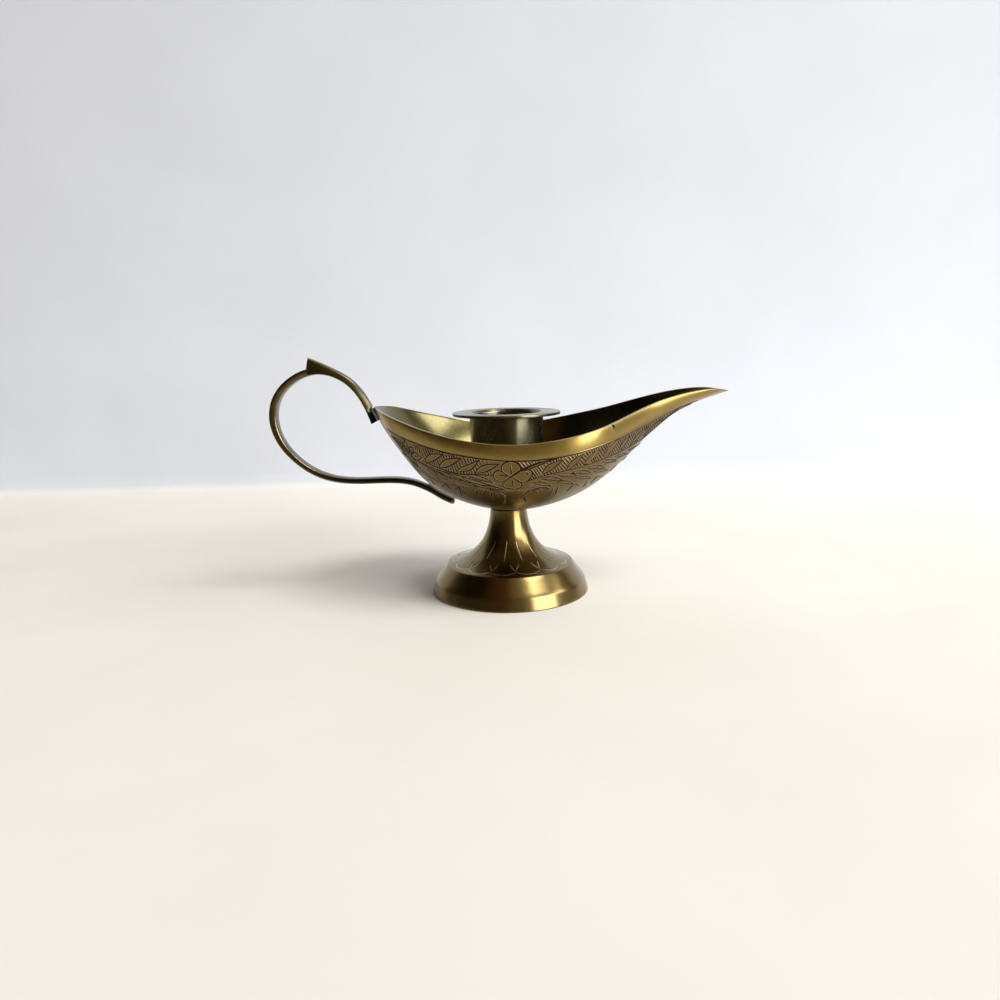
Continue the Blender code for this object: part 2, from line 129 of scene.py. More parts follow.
def ramp_in(tree, value, stops):
    """Colour along a ramp of (position, colour) stops."""
    made = tree.nodes.new("ShaderNodeValToRGB")
    feed(tree, made, {"Fac": value})
    ramp = made.color_ramp.elements
    ramp[0].position = stops[0][0]
    ramp[-1].position = stops[-1][0]
    for position, colour in stops[1:-1]:
        ramp.new(position)
    for stop, (position, colour) in zip(ramp, stops):
        stop.color = (*colour, 1.0)
    return made.outputs["Color"]


def new_material(name):
    """New material, with its node tree and its main shader."""
    material = bpy.data.materials.new(name)
    material.use_nodes = True
    return material, material.node_tree, material.node_tree.nodes["Principled BSDF"]


def add_object(name, data):
    """Put a mesh, a lamp or a camera in the scene."""
    item = bpy.data.objects.new(name, data)
    bpy.context.scene.collection.objects.link(item)
    return item


def room_paint(name):
    """Matt paint with faint mottling: tabletop, wall above it, and a painted shade of dark brown far from
    the candle holder.
    """
    material, tree, shader = new_material(name)
    place = node_in(tree, "TexCoord")["Object"]
    tint = span_in(tree, noise_in(tree, place, 14.0, 4.0), 0.0, 1.0, 0.93, 1.05)
    apart = node_in(tree, "SeparateXYZ", {"Vector": place})
    sideways = math_in(tree, "ABSOLUTE", apart["X"])
    # Painted shade: beyond these reaches from the candle holder the paint fades to dark brown.
    near = 1.0
    for reach, start, end in (
        (sideways, 0.32, 0.62), (apart["Y"], -0.18, -0.30), (apart["Z"], 0.36, 0.60),
    ):
        fall = span_in(tree, reach, start, end, 1.0, 0.0, interpolation_type="SMOOTHSTEP")
        near = math_in(tree, "MULTIPLY", near, fall)
    climb = span_in(tree, apart["Z"], 0.0, 0.4 * COVE)
    paint = mix_in(tree, near, PAINTED_SHADE_BROWN, mix_in(tree, climb, TABLE_COLOUR, WALL_COLOUR))
    shade = node_in(tree, "VectorMath", {0: paint, "Scale": tint}, operation="SCALE")["Vector"]
    feed(tree, shader, {"Base Color": shade, "Roughness": 0.8, "Specular IOR Level": 0.05})
    return material


room_line = [(TABLE_FRONT, 0.0)] + [
    (WALL_PLACE - COVE + COVE * math.sin(a), COVE - COVE * math.cos(a))
    for a in np.linspace(0.0, math.pi / 2, 13)
] + [(WALL_PLACE, WALL_TOP)]
room_points = [(x, y, z) for x in (-TABLE_HALF, TABLE_HALF) for y, z in room_line]
count = len(room_line)
room_mesh = bpy.data.meshes.new("tabletop_and_wall")
room_mesh.from_pydata(
    room_points, [], [(i, i + 1, count + i + 1, count + i) for i in range(count - 1)],
)
room_mesh.shade_smooth()
room_mesh.materials.append(room_paint("tabletop and wall paint"))
add_object("tabletop_and_wall", room_mesh)

camera_data = bpy.data.cameras.new("camera")
camera_data.lens = CAMERA_LENS
camera_data.sensor_width = CAMERA_SENSOR
camera_data.clip_start = 0.01
camera_data.clip_end = 20.0
camera = add_object("camera", camera_data)
camera.matrix_world = (
    Matrix.Translation(CAMERA_PLACE)
    @ Matrix.Rotation(math.pi / 2 - CAMERA_PITCH, 4, "X")
    @ Matrix.Rotation(CAMERA_ROLL, 4, "Z")
)
bpy.context.scene.camera = camera
bpy.context.scene.view_settings.view_transform = "Standard"

for name, place, width, height, watts in PANES:
    lamp = bpy.data.lights.new(name, "AREA")
    lamp.shape = "RECTANGLE"
    lamp.size = width
    lamp.size_y = height
    lamp.energy = watts
    lamp.color = LAMP_COLOUR
    pane = add_object(name, lamp)
    pane.location = place
    pane.rotation_euler = (LAMP_AIM - Vector(place)).to_track_quat("-Z", "Y").to_euler()

world = bpy.data.worlds.new("dim room")
bpy.context.scene.world = world
world.use_nodes = True
tree = world.node_tree
heading = node_in(tree, "SeparateXYZ", {"Vector": node_in(tree, "TexCoord")["Generated"]})
ahead = math_in(tree, "MULTIPLY", heading["Y"], -1.0)
bearing = math_in(tree, "ARCTAN2", heading["X"], ahead)
around = span_in(tree, bearing, -math.pi, math.pi)
tones = [((degrees + 180) / 360, colour) for degrees, colour in ROOM_TONES]
feed(tree, tree.nodes["Background"], {
    "Color": ramp_in(tree, around, tones),
    "Strength": span_in(tree, heading["Z"], 0.55, 0.80, 1.0, 1.6),
})


# The foot: turned brass, hollow, with a flared stem, a step, a sloping shoulder and a plain band.
# A line of scallops is cut round the foot of the flare, with a notch and a long stroke at each cusp.
foot_low, foot_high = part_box("foot")
AXIS_X = (foot_low.x + foot_high.x) / 2
FOOT_RADIUS = (foot_high.x - foot_low.x) / 2
FOOT_HEIGHT = foot_high.z
BAND_HEIGHT = 4.4 * MM
BAND_DRAFT = 1.3 * MM
STEP_RADIUS = 21.6 * MM
STEP_HEIGHT = 10.0 * MM
NECK_RADIUS = 6.2 * MM
FOOT_WALL = 1.6 * MM
WEB_THICKNESS = 5.0 * MM
HOLE_RADIUS = 2.3 * MM
SCALLOPS = 13
SCALLOP_START = math.radians(5.6 - 90)
FOOT_TURNS = 468
FOOT_EDGE = 0.35 * MM
FOOT_FACET = 0.27 * MM
FOOT_LIP = 0.001 * MM
FOOT_CUT = 0.16
UNROLLED_AT = 15.0
SCALLOP_AT, SCALLOP_BOW = 18.2, 1.7
NOTCH = [(0.0, 17.7), (0.5, 16.2), (1.0, 14.6)]
LONG_STROKE_FROM = 13.6


def link_piece(name, mesh):
    """Put a finished mesh in the scene as a piece that takes the finish of a material slot."""
    item = add_object(name, mesh)
    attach(item, "root")
    return item


def about_axis(radius, height, turn):
    """Net of points round the lamp's axis, from rows of radii and heights and a row of angles."""
    return np.stack(np.broadcast_arrays(
        AXIS_X + radius * np.cos(turn), radius * np.sin(turn), height,
    ), axis=-1)


def grid_mesh(name, points, *materials):
    """Quads over a (rows, columns, 3) net of points, whose last column joins the first."""
    rows, columns = points.shape[:2]
    here = np.arange(rows * columns).reshape(rows, columns)
    across = np.roll(here, -1, axis=1)
    faces = np.stack([here[:-1], here[1:], across[1:], across[:-1]], axis=-1).reshape(-1, 4)
    mesh = bpy.data.meshes.new(name)
    mesh.from_pydata(points.reshape(-1, 3).tolist(), [], faces.tolist())
    for material in materials:
        mesh.materials.append(material)
    mesh.shade_smooth()
    return mesh


def close_mesh(mesh, ring=0, weld=0.0, sharp=None):
    """Cap a net's two end rings of so many points, weld doubled points and face everything out."""
    shape = bmesh.new()
    shape.from_mesh(mesh)
    if ring:
        points = list(shape.verts)
        shape.faces.new(points[:ring])
        shape.faces.new(points[-ring:])
    if weld:
        bmesh.ops.remove_doubles(shape, verts=shape.verts, dist=weld)
    bmesh.ops.recalc_face_normals(shape, faces=shape.faces)
    shape.to_mesh(mesh)
    shape.free()
    if sharp:
        mesh.set_sharp_from_angle(angle=math.radians(sharp))


def run_of(points):
    """Length along a path up to each of its points."""
    return np.concatenate(([0.0], np.cumsum(np.linalg.norm(np.diff(points, axis=0), axis=1))))


def spread(profile, spacing):
    """Points along a profile (a list of corner points), no further apart than the spacing."""
    profile = np.asarray(profile, dtype=float)
    runs = []
    for start, end in zip(profile[:-1], profile[1:]):
        count = max(1, math.ceil(np.linalg.norm(end - start) / spacing))
        runs.append(start + (end - start) * np.linspace(0.0, 1.0, count, endpoint=False)[:, None])
    return np.concatenate(runs + [profile[-1:]])


def eased(profile, radius):
    """Profile with each corner sharper than 20 degrees replaced by a small round."""
    profile = [np.asarray(p, dtype=float) for p in profile]
    out = [profile[0]]
    for before, corner, after in zip(profile[:-2], profile[1:-1], profile[2:]):
        into, away = before - corner, after - corner
        turn = into @ away / (np.linalg.norm(into) * np.linalg.norm(away))
        if turn < -math.cos(math.radians(20)):
            out.append(corner)
            continue
        reach = min(radius, 0.45 * np.linalg.norm(into), 0.45 * np.linalg.norm(away))
        first = corner + into / np.linalg.norm(into) * reach
        last = corner + away / np.linalg.norm(away) * reach
        for t in np.linspace(0.0, 1.0, 5):
            out.append((1 - t) ** 2 * first + 2 * t * (1 - t) * corner + t ** 2 * last)
    return np.array(out + [profile[-1]])


def offset_path(path, distance):
    """Path moved to the left of its direction of travel by a distance, or one for each point."""
    path = np.asarray(path, dtype=float)
    along = np.gradient(path, axis=0)
    along /= np.linalg.norm(along, axis=1)[:, None]
    left = np.stack([-along[:, 1], along[:, 0]], axis=1)
    return path + left * np.broadcast_to(distance, len(path))[:, None]


def smooth_curve(controls, shares):
    """Points of the natural cubic spline through the controls, at shares of its chord length."""
    knots = np.array(controls, dtype=float)
    places = run_of(knots) / np.linalg.norm(np.diff(knots, axis=0), axis=1).sum()
    spans = np.diff(places)[:, None]
    slopes = np.diff(knots, axis=0) / spans
    count = len(knots)
    system = np.eye(count)
    bends = np.zeros_like(knots)
    for i in range(1, count - 1):
        before, after = spans[i - 1, 0], spans[i, 0]
        system[i, i - 1:i + 2] = before, 2 * (before + after), after
        bends[i] = 6 * (slopes[i] - slopes[i - 1])
    bends = np.linalg.solve(system, bends)
    shares = np.asarray(shares, dtype=float)
    cell = np.clip(np.searchsorted(places, shares, side="right") - 1, 0, count - 2)
    ahead = (shares - places[cell])[:, None]
    behind = (places[cell + 1] - shares)[:, None]
    span = spans[cell]
    return (
        (bends[cell] * behind ** 3 + bends[cell + 1] * ahead ** 3) / (6 * span)
        + (knots[cell] / span - bends[cell] * span / 6) * behind
        + (knots[cell + 1] / span - bends[cell + 1] * span / 6) * ahead
    )


class Engraving:
    """Depth of the engraver's cuts over a flat net of millimetres, drawn stroke by stroke, with a band
    along each cut where a highlight is painted.
    """

    PITCH = 0.06
    GLINT_REACH = 0.26

    def __init__(self, low, high):
        self.low = np.array(low, dtype=float)
        self.shape = np.ceil((np.array(high) - self.low) / self.PITCH).astype(int) + 1
        self.depth = np.zeros(self.shape)
        self.cut_glint = np.zeros(self.shape)

    def stroke(self, points, width, depth, taper=0.35):
        """Cut one groove along points; its width narrows to a share of itself at both ends."""
        points = np.asarray(points, dtype=float)
        place = run_of(points)
        place /= max(place[-1], 1e-9)
        swell = taper + (1 - taper) * np.clip(np.sin(np.pi * place), 0.0, 1.0) ** 0.6
        for start, end, swell_a, swell_b in zip(points[:-1], points[1:], swell[:-1], swell[1:]):
            reach = width * max(swell_a, swell_b) + self.GLINT_REACH
            first = np.floor((np.minimum(start, end) - reach - self.low) / self.PITCH).astype(int)
            last = np.ceil((np.maximum(start, end) + reach - self.low) / self.PITCH).astype(int) + 1
            first = np.clip(first, 0, self.shape)
            last = np.clip(last, 0, self.shape)
            if (last <= first).any():
                continue
            a = self.low[0] + np.arange(first[0], last[0])[:, None] * self.PITCH
            b = self.low[1] + np.arange(first[1], last[1])[None, :] * self.PITCH
            run = end - start
            share = ((a - start[0]) * run[0] + (b - start[1]) * run[1]) / max(run @ run, 1e-12)
            share = np.clip(share, 0.0, 1.0)
            off = np.hypot(a - start[0] - share * run[0], b - start[1] - share * run[1])
            half = width / 2 * (swell_a + (swell_b - swell_a) * share)
            cut = depth * np.clip(1 - (off / half) ** 2, 0.0, 1.0)
            window = self.depth[first[0]:last[0], first[1]:last[1]]
            np.maximum(window, cut, out=window)
            # Painted highlight: a band along each side of the groove, where the glint on its lit flank is
            # painted.
            window = self.cut_glint[first[0]:last[0], first[1]:last[1]]
            np.maximum(window, np.clip((half + self.GLINT_REACH - off) / self.GLINT_REACH, 0.0, 1.0), out=window)

    def at(self, a, b, net=None):
        """Depth, or the value of another net, at places, read between the net's points."""
        x = np.clip((np.asarray(a) - self.low[0]) / self.PITCH, 0, self.shape[0] - 1.001)
        y = np.clip((np.asarray(b) - self.low[1]) / self.PITCH, 0, self.shape[1] - 1.001)
        i, j = x.astype(int), y.astype(int)
        u, v = x - i, y - j
        net = self.depth if net is None else net
        return (
            net[i, j] * (1 - u) * (1 - v) + net[i + 1, j] * u * (1 - v)
            + net[i, j + 1] * (1 - u) * v + net[i + 1, j + 1] * u * v
        )


def brass(name, light, dark, rough, marks=(), lathe=0.0, speckle=0.5, cloud_scale=95.0, grain=0.3,
          coat=0.2):
    """Aged brass: tone drifting between two colours, fine pits, and level polishing marks.

    Each mark is (attribute, from, to, colour, roughness, metallic): where the mesh's attribute
    rises from one value to the other, the surface turns to that finish.  A lathe value adds fine
    rings about the lamp's axis to its relief, and speckle is how far the pits are darkened.
    """
    material, tree, shader = new_material(name)
    place = node_in(tree, "TexCoord")["Object"]
    clouds = noise_in(tree, place, cloud_scale, 5.0, 0.6)
    pits = noise_in(tree, place, 2600.0, 3.0)
    colour = mix_in(
        tree, span_in(tree, pits, 0.56, 0.72, 0.0, speckle),
        ramp_in(tree, clouds, [(0.30, dark), (0.70, light)]), [0.45 * value for value in dark],
    )
    rubbed = noise_in(tree, place, 420.0, 4.0)
    roughness = span_in(tree, rubbed, 0.3, 0.7, rough - 0.02, rough + 0.03)
    metallic = 1.0
    for attribute, start, end, mark_colour, mark_rough, mark_metal in marks:
        amount = node_in(tree, "Attribute", attribute_name=attribute)["Fac"]
        amount = span_in(tree, amount, start, end)
        colour = mix_in(tree, amount, colour, mark_colour)
        roughness = mix_in(tree, amount, roughness, mark_rough, "FLOAT")
        if mark_metal != metallic:
            metallic = mix_in(tree, amount, metallic, mark_metal, "FLOAT")
    height = pits
    if lathe:
        flat = node_in(tree, "VectorMath", {
            0: place, 1: (1.0, 1.0, 0.0), 2: (-AXIS_X, 0.0, 0.0),
        }, operation="MULTIPLY_ADD")["Vector"]
        outward = node_in(tree, "VectorMath", {0: flat}, operation="LENGTH")["Value"]
        level = node_in(tree, "SeparateXYZ", {"Vector": place})["Z"]
        rings = node_in(tree, "CombineXYZ", {"X": outward, "Z": level})["Vector"]
        height = math_in(tree, "MULTIPLY_ADD", noise_in(tree, rings, 2600.0, 3.0), lathe, pits)
    bump = node_in(tree, "Bump", {"Strength": 0.2, "Distance": 0.01 * MM, "Height": height})
    polish = node_in(tree, "Tangent", direction_type="RADIAL", axis="Z")
    feed(tree, shader, {
        "Base Color": colour, "Metallic": metallic, "Roughness": roughness,
        "Normal": bump["Normal"], "Tangent": polish["Tangent"], "Anisotropic": grain,
        "Anisotropic Rotation": 0.25, "Coat Weight": coat, "Coat Roughness": 0.2,
    })
    return material


def keep_mark(mesh, name, amount):
    """Keep a 0 to 1 value for each point of the mesh, for its material to read."""
    kept = mesh.attributes.new(name, "FLOAT", "POINT")
    kept.data.foreach_set("value", np.clip(amount, 0.0, 1.0).astype(np.float32).ravel())


def foot_outside():
    """Outer profile of the foot from the neck's top edge down to the step's edge."""
    neck = np.array([NECK_RADIUS, FOOT_HEIGHT])
    step = np.array([STEP_RADIUS, STEP_HEIGHT])
    neck_pull = neck + (0.7 * MM, -10.0 * MM)
    step_pull = step + (-10.6 * MM, 2.0 * MM)
    t = np.linspace(0.0, 1.0, 60)[:, None]
    return (
        (1 - t) ** 3 * neck + 3 * (1 - t) ** 2 * t * neck_pull
        + 3 * (1 - t) * t ** 2 * step_pull + t ** 3 * step
    )


foot_brass = brass(
    "foot brass", (0.21, 0.154, 0.056), (0.18, 0.129, 0.042), 0.23,
    marks=[
        # Painted highlight: the cuts on the flare are painted pale, for the glint along the lit strokes.
        ("cut", 0.1, 0.6, (0.62, 0.54, 0.38), 0.42, 1.0),
        ("seam", 0.2, 0.8, (0.02, 0.012, 0.006), 0.6, 1.0),
    ], lathe=2.0, speckle=0.2, grain=0.45, coat=0.25,
)
flare = foot_outside()
below = [(FOOT_RADIUS - BAND_DRAFT, BAND_HEIGHT), (FOOT_RADIUS, 0.0)]
inside = offset_path(np.concatenate([flare, below]), -FOOT_WALL)
web_z = FOOT_HEIGHT - WEB_THICKNESS
web_radius = float(np.interp(-web_z, -inside[:, 1], inside[:, 0]))
hollow = [tuple(p) for p in inside[:-1][::4] if p[1] < web_z]
edges = eased(
    [(HOLE_RADIUS, FOOT_HEIGHT), (NECK_RADIUS, FOOT_HEIGHT)] + [tuple(p) for p in flare[1:]]
    + below + [(FOOT_RADIUS - FOOT_WALL, 0.0)] + hollow[::-1]
    + [(web_radius, web_z), (HOLE_RADIUS, web_z)],
    FOOT_EDGE,
)
fine = spread(edges, FOOT_FACET)
on_flare = (fine[:, 1] > STEP_HEIGHT) & (np.arange(len(fine)) < np.argmax(fine[:, 0]))
corner_turn = np.abs(np.diff(np.unwrap(np.arctan2(*np.diff(fine, axis=0).T))))
keep = on_flare.copy()
keep[::5] = True
keep[1:-1] |= corner_turn > math.radians(3)
keep[[0, -1]] = True
profile, run, on_flare = fine[keep], run_of(fine)[keep] / MM, on_flare[keep]
flare_run = run[on_flare]
flare_radius = profile[on_flare, 0] / MM
foot_cuts = Engraving((-0.5, 0.0), (math.tau * UNROLLED_AT + 0.5, float(flare_run.max()) + 0.5))


def cut_on_flare(path, width):
    """Cut a stroke given as (angle, radius in mm) points, where it fits the unrolled flare."""
    placed = [
        ((angle % math.tau) * UNROLLED_AT, float(np.interp(radius, flare_radius, flare_run)))
        for angle, radius in path
    ]
    if np.ptp([across for across, down in placed]) < math.pi * UNROLLED_AT:
        foot_cuts.stroke(placed, width, FOOT_CUT)


hand = random.Random(7)
pitch_angle = math.tau / SCALLOPS
for k in range(SCALLOPS):
    cusp = SCALLOP_START + k * pitch_angle + hand.uniform(-0.02, 0.02)
    cut_on_flare([
        (cusp + pitch_angle * t, SCALLOP_AT + SCALLOP_BOW * math.sin(math.pi * t) ** 0.8)
        for t in np.linspace(0.0, 1.0, 15)
    ], 0.36)
    arm = pitch_angle * hand.uniform(0.20, 0.28)
    for lean in (-arm, arm):
        cut_on_flare([(cusp + lean * share, radius) for share, radius in NOTCH], 0.4)
    aside = pitch_angle * hand.uniform(0.15, 0.6)
    sway = hand.uniform(-0.06, 0.14)
    length = hand.uniform(3.6, 6.0)
    cut_on_flare([
        (cusp + aside + sway * t * t, LONG_STROKE_FROM - length * t)
        for t in np.linspace(0.0, 1.0, 9)
    ], 0.42)

angles = np.linspace(0.0, math.tau, FOOT_TURNS, endpoint=False)
depth = foot_cuts.at((angles * UNROLLED_AT)[None, :], run[:, None]) * on_flare[:, None]
slope = np.gradient(profile, axis=0)
slope /= np.linalg.norm(slope, axis=1)[:, None]
foot_net = about_axis(
    profile[:, :1] + slope[:, 1:] * depth * MM, profile[:, 1:] - slope[:, :1] * depth * MM, angles,
)
foot_net = np.concatenate([foot_net, foot_net[:1]])
foot_mesh = grid_mesh("foot_turned", foot_net, foot_brass)
keep_mark(foot_mesh, "cut", np.concatenate([depth, depth[:1]]) / FOOT_CUT)
keep_mark(foot_mesh, "seam", 1 - (FOOT_HEIGHT - foot_net[..., 2]) / (0.9 * MM))
close_mesh(foot_mesh, weld=FOOT_LIP)
foot = link_piece("foot_turned", foot_mesh)
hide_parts("foot")


# The bowl: thin cast brass, boat-shaped, with a long spout.  Below a plain band under the rim each
# side is engraved by hand with flowers and leafy stems; the gaps between the leaves are hatched.
bowl_low, bowl_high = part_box("bowl")
BOWL_HALF_WIDTH = bowl_high.y
TAIL_REACH = AXIS_X - bowl_low.x
SPOUT_REACH = bowl_high.x - AXIS_X
SEAT_Z = bowl_low.z
KEEL_Z = SEAT_Z - 0.4 * MM
BOWL_DEPTH = 25.7 * MM
BOWL_WALL = 1.1 * MM
TAIL_RISE = 9.8 * MM
SPOUT_RISE = 12.1 * MM
OUTER_LEAN = math.radians(-8)
INNER_LEAN = math.radians(20)
PATTERN_LEAN = math.radians(20)
SPOUT_SILL = 0.3 * MM
RIM_Z = KEEL_Z + BOWL_DEPTH
MERGE = 0.01 * MM
RIM_SHAPE = [
    (-1.0, 0.0, 1.0), (-0.914, 0.378, 0.91), (-0.70, 0.687, 0.586), (-0.361, 0.936, 0.187),
    (0.08, 1.0, 0.0), (0.322, 0.935, 0.219), (0.509, 0.62, 0.536), (0.67, 0.382, 0.857),
    (0.831, 0.273, 1.056), (0.938, 0.16, 1.08), (1.0, 0.0, 1.0),
]
KEEL_SHAPE = [
    (-1.0, 1.0), (-0.937, 0.835), (-0.79, 0.559), (-0.564, 0.239), (-0.293, 0.072),
    (0.0, 0.0), (0.174, 0.041), (0.335, 0.163), (0.482, 0.364), (0.617, 0.606),
    (0.751, 0.827), (0.885, 0.935), (1.0, 1.0),
]
ENGRAVED_FROM, ENGRAVED_TO = -52.0, 74.0
BOWL_CUT = 0.2
CUT_DEEPER = 1.4
RIM_EASE = 0.12 * MM
# An engraver's line is its width, its depth and the share of its width that is left at the ends.
LEAF_LINE = (0.42, 0.16, 0.5)
LOW_LEAF_LINE = (0.42, 0.17, 0.5)
FAINT_LEAF_LINE = (0.40, 0.15, 0.5)
POINTED_PETAL_LINE = (0.42, 0.17, 0.6)
ROUND_PETAL_LINE = (0.40, 0.17, 0.7)
STEM_LINE = (0.45, 0.18, 0.6)
LOOSE_LINE = (0.52, 0.18, 0.4)
HATCH_SPACING, HATCH_WIDTH, HATCH_DEPTH = 0.94, 0.44, 0.19
BEAD_WIDTH, BEAD_DEPTH = 0.42, 0.15


def tip_rise(share):
    """Height of the tip above the low middle of the rim, at the spout's or at the tail's end."""
    return SPOUT_RISE if share > 0 else TAIL_RISE


def reach_x(share):
    """X of a share of the bowl's reach, measured from the lamp's axis."""
    return share * (SPOUT_REACH if share > 0 else TAIL_REACH)


rim_controls = [
    (reach_x(reach), width * BOWL_HALF_WIDTH, RIM_Z + rise * tip_rise(reach))
    for reach, width, rise in RIM_SHAPE
]
keel_controls = [
    (reach_x(reach), KEEL_Z + rise * (BOWL_DEPTH + tip_rise(reach))) for reach, rise in KEEL_SHAPE
]


def rib_points(keel_point, rim_point, turn, lean):
    """Points of one rib at shares of its turn: 0 at the keel, 1 at the rim, which leans out."""
    full = math.pi / 2 - lean
    out = np.sin(turn * full) / math.sin(min(full, math.pi / 2))
    up = (1 - np.cos(turn * full)) / (1 - math.cos(full))
    x = keel_point[0] + (rim_point[0] - keel_point[0]) * up
    z = keel_point[1] + (rim_point[2] - keel_point[1]) * up
    return np.stack([x, rim_point[1] * out, z], axis=1)


def inner_guides(shares):
    """Keel and rim of the bowl's inside, set in by the wall from the outer ones."""
    fine = np.linspace(0.0, 1.0, 801)
    rim = smooth_curve(rim_controls, fine)
    plan = offset_path(rim[:, :2], -BOWL_WALL)
    inside = np.nonzero(plan[:, 1] > 0)[0]
    places = fine[inside[0]] + (fine[inside[-1]] - fine[inside[0]]) * shares
    inner_rim = np.stack([
        np.interp(places, fine, plan[:, 0]), np.interp(places, fine, plan[:, 1]),
        np.interp(places, fine, rim[:, 2]),
    ], axis=1)
    inner_rim[[0, -1], 1] = 0.0
    keel = offset_path(smooth_curve(keel_controls, fine), BOWL_WALL)
    middle = len(fine) // 2
    start = np.interp(-inner_rim[0, 2], -keel[:middle, 1], fine[:middle])
    end = np.interp(inner_rim[-1, 2] - SPOUT_SILL, keel[middle:, 1], fine[middle:])
    places = start + (end - start) * shares
    inner_keel = np.stack([
        np.interp(places, fine, keel[:, 0]), np.interp(places, fine, keel[:, 1]),
    ], axis=1)
    return inner_keel, inner_rim


def rib_lengths(keel_point, rim_point, turn):
    """Lengths in mm down the engraver's pattern rib from the rim, at shares of its turn."""
    points = rib_points(keel_point, rim_point, turn, PATTERN_LEAN)
    steps = np.linalg.norm(np.diff(points, axis=0), axis=1) / MM
    return np.concatenate((np.cumsum(steps[::-1])[::-1], [0.0]))


def leaf_edges(base, tip, belly, bow=0.0):
    """Two edges of a pointed leaf between (a, b) points; bow bends the whole leaf."""
    base, tip = np.array(base, dtype=float), np.array(tip, dtype=float)
    t = np.linspace(0.0, 1.0, 15)[:, None]
    along = tip - base
    across = np.array([along[1], -along[0]]) / np.linalg.norm(along)
    spine = base + along * t + across * bow * np.sin(np.pi * t)
    swell = across * belly * np.clip(np.sin(np.pi * t ** 0.8), 0.0, 1.0)
    return spine + swell, spine - swell


def cut_leaves(cuts, line, leaves):
    """Cut the outlines of leaves, each given as (base, tip, half-width, bow)."""
    for leaf in leaves:
        for edge in leaf_edges(*leaf):
            cuts.stroke(edge, *line)


def inside_loop(points, loop):
    """Which points lie inside a closed loop of points."""
    x, y = points[:, 0], points[:, 1]
    within = np.zeros(len(points), dtype=bool)
    for (x1, y1), (x2, y2) in zip(loop, np.roll(loop, -1, axis=0)):
        crosses = (y1 > y) != (y2 > y)
        within ^= crosses & (x < (x2 - x1) * (y - y1) / (y2 - y1 + 1e-12) + x1)
    return within


def hatch(cuts, top, bottom, plain, lean, hand):
    """Short parallel cuts between two (a, b) lines, left out of the plain leaves."""
    top, bottom = np.array(top, dtype=float), np.array(bottom, dtype=float)
    a = max(top[0, 0], bottom[0, 0])
    while a < min(top[-1, 0], bottom[-1, 0]):
        high = float(np.interp(a, top[:, 0], top[:, 1])) + 0.35
        low = float(np.interp(a, bottom[:, 0], bottom[:, 1])) - 0.3
        count = max(2, int((low - high) / 0.22))
        fall = np.linspace(0.0, 1.0, count)
        line = np.stack([
            a + lean * (high - low) * (fall - 0.5) + 0.18 * np.sin(fall * 3.0 + a),
            high + (low - high) * fall,
        ], axis=1)
        free = np.ones(count, dtype=bool)
        for loop in plain:
            free &= ~inside_loop(line, loop)
        start = None
        for i in range(count + 1):
            if i < count and free[i]:
                start = i if start is None else start
            elif start is not None:
                if i - start >= 3:
                    cuts.stroke(
                        line[start:i], HATCH_WIDTH * hand.uniform(0.8, 1.15),
                        HATCH_DEPTH * hand.uniform(0.8, 1.1), 0.5,
                    )
                start = None
        a += HATCH_SPACING * hand.uniform(0.88, 1.12)


def beads(cuts, line, spacing, length, lean, hand):
    """Row of short cuts across a line."""
    line = np.array(line, dtype=float)
    run = run_of(line)
    place = 0.0
    while place < run[-1]:
        middle = np.array([np.interp(place, run, line[:, 0]), np.interp(place, run, line[:, 1])])
        half = length * hand.uniform(0.35, 0.6) * np.array([lean, 1.0])
        depth = BEAD_DEPTH * hand.uniform(0.7, 1.1)
        cuts.stroke([middle - half, middle + half], BEAD_WIDTH, depth, 0.5)
        place += spacing * hand.uniform(0.85, 1.15)


def wavy(points, hand, amount=0.12):
    """Line through points as a smooth curve with a slight tremble."""
    points = [
        (a + hand.uniform(-amount, amount), b + hand.uniform(-amount, amount)) for a, b in points
    ]
    count = max(9, int(2.0 * run_of(points)[-1]))
    return smooth_curve(points, np.linspace(0.0, 1.0, count))


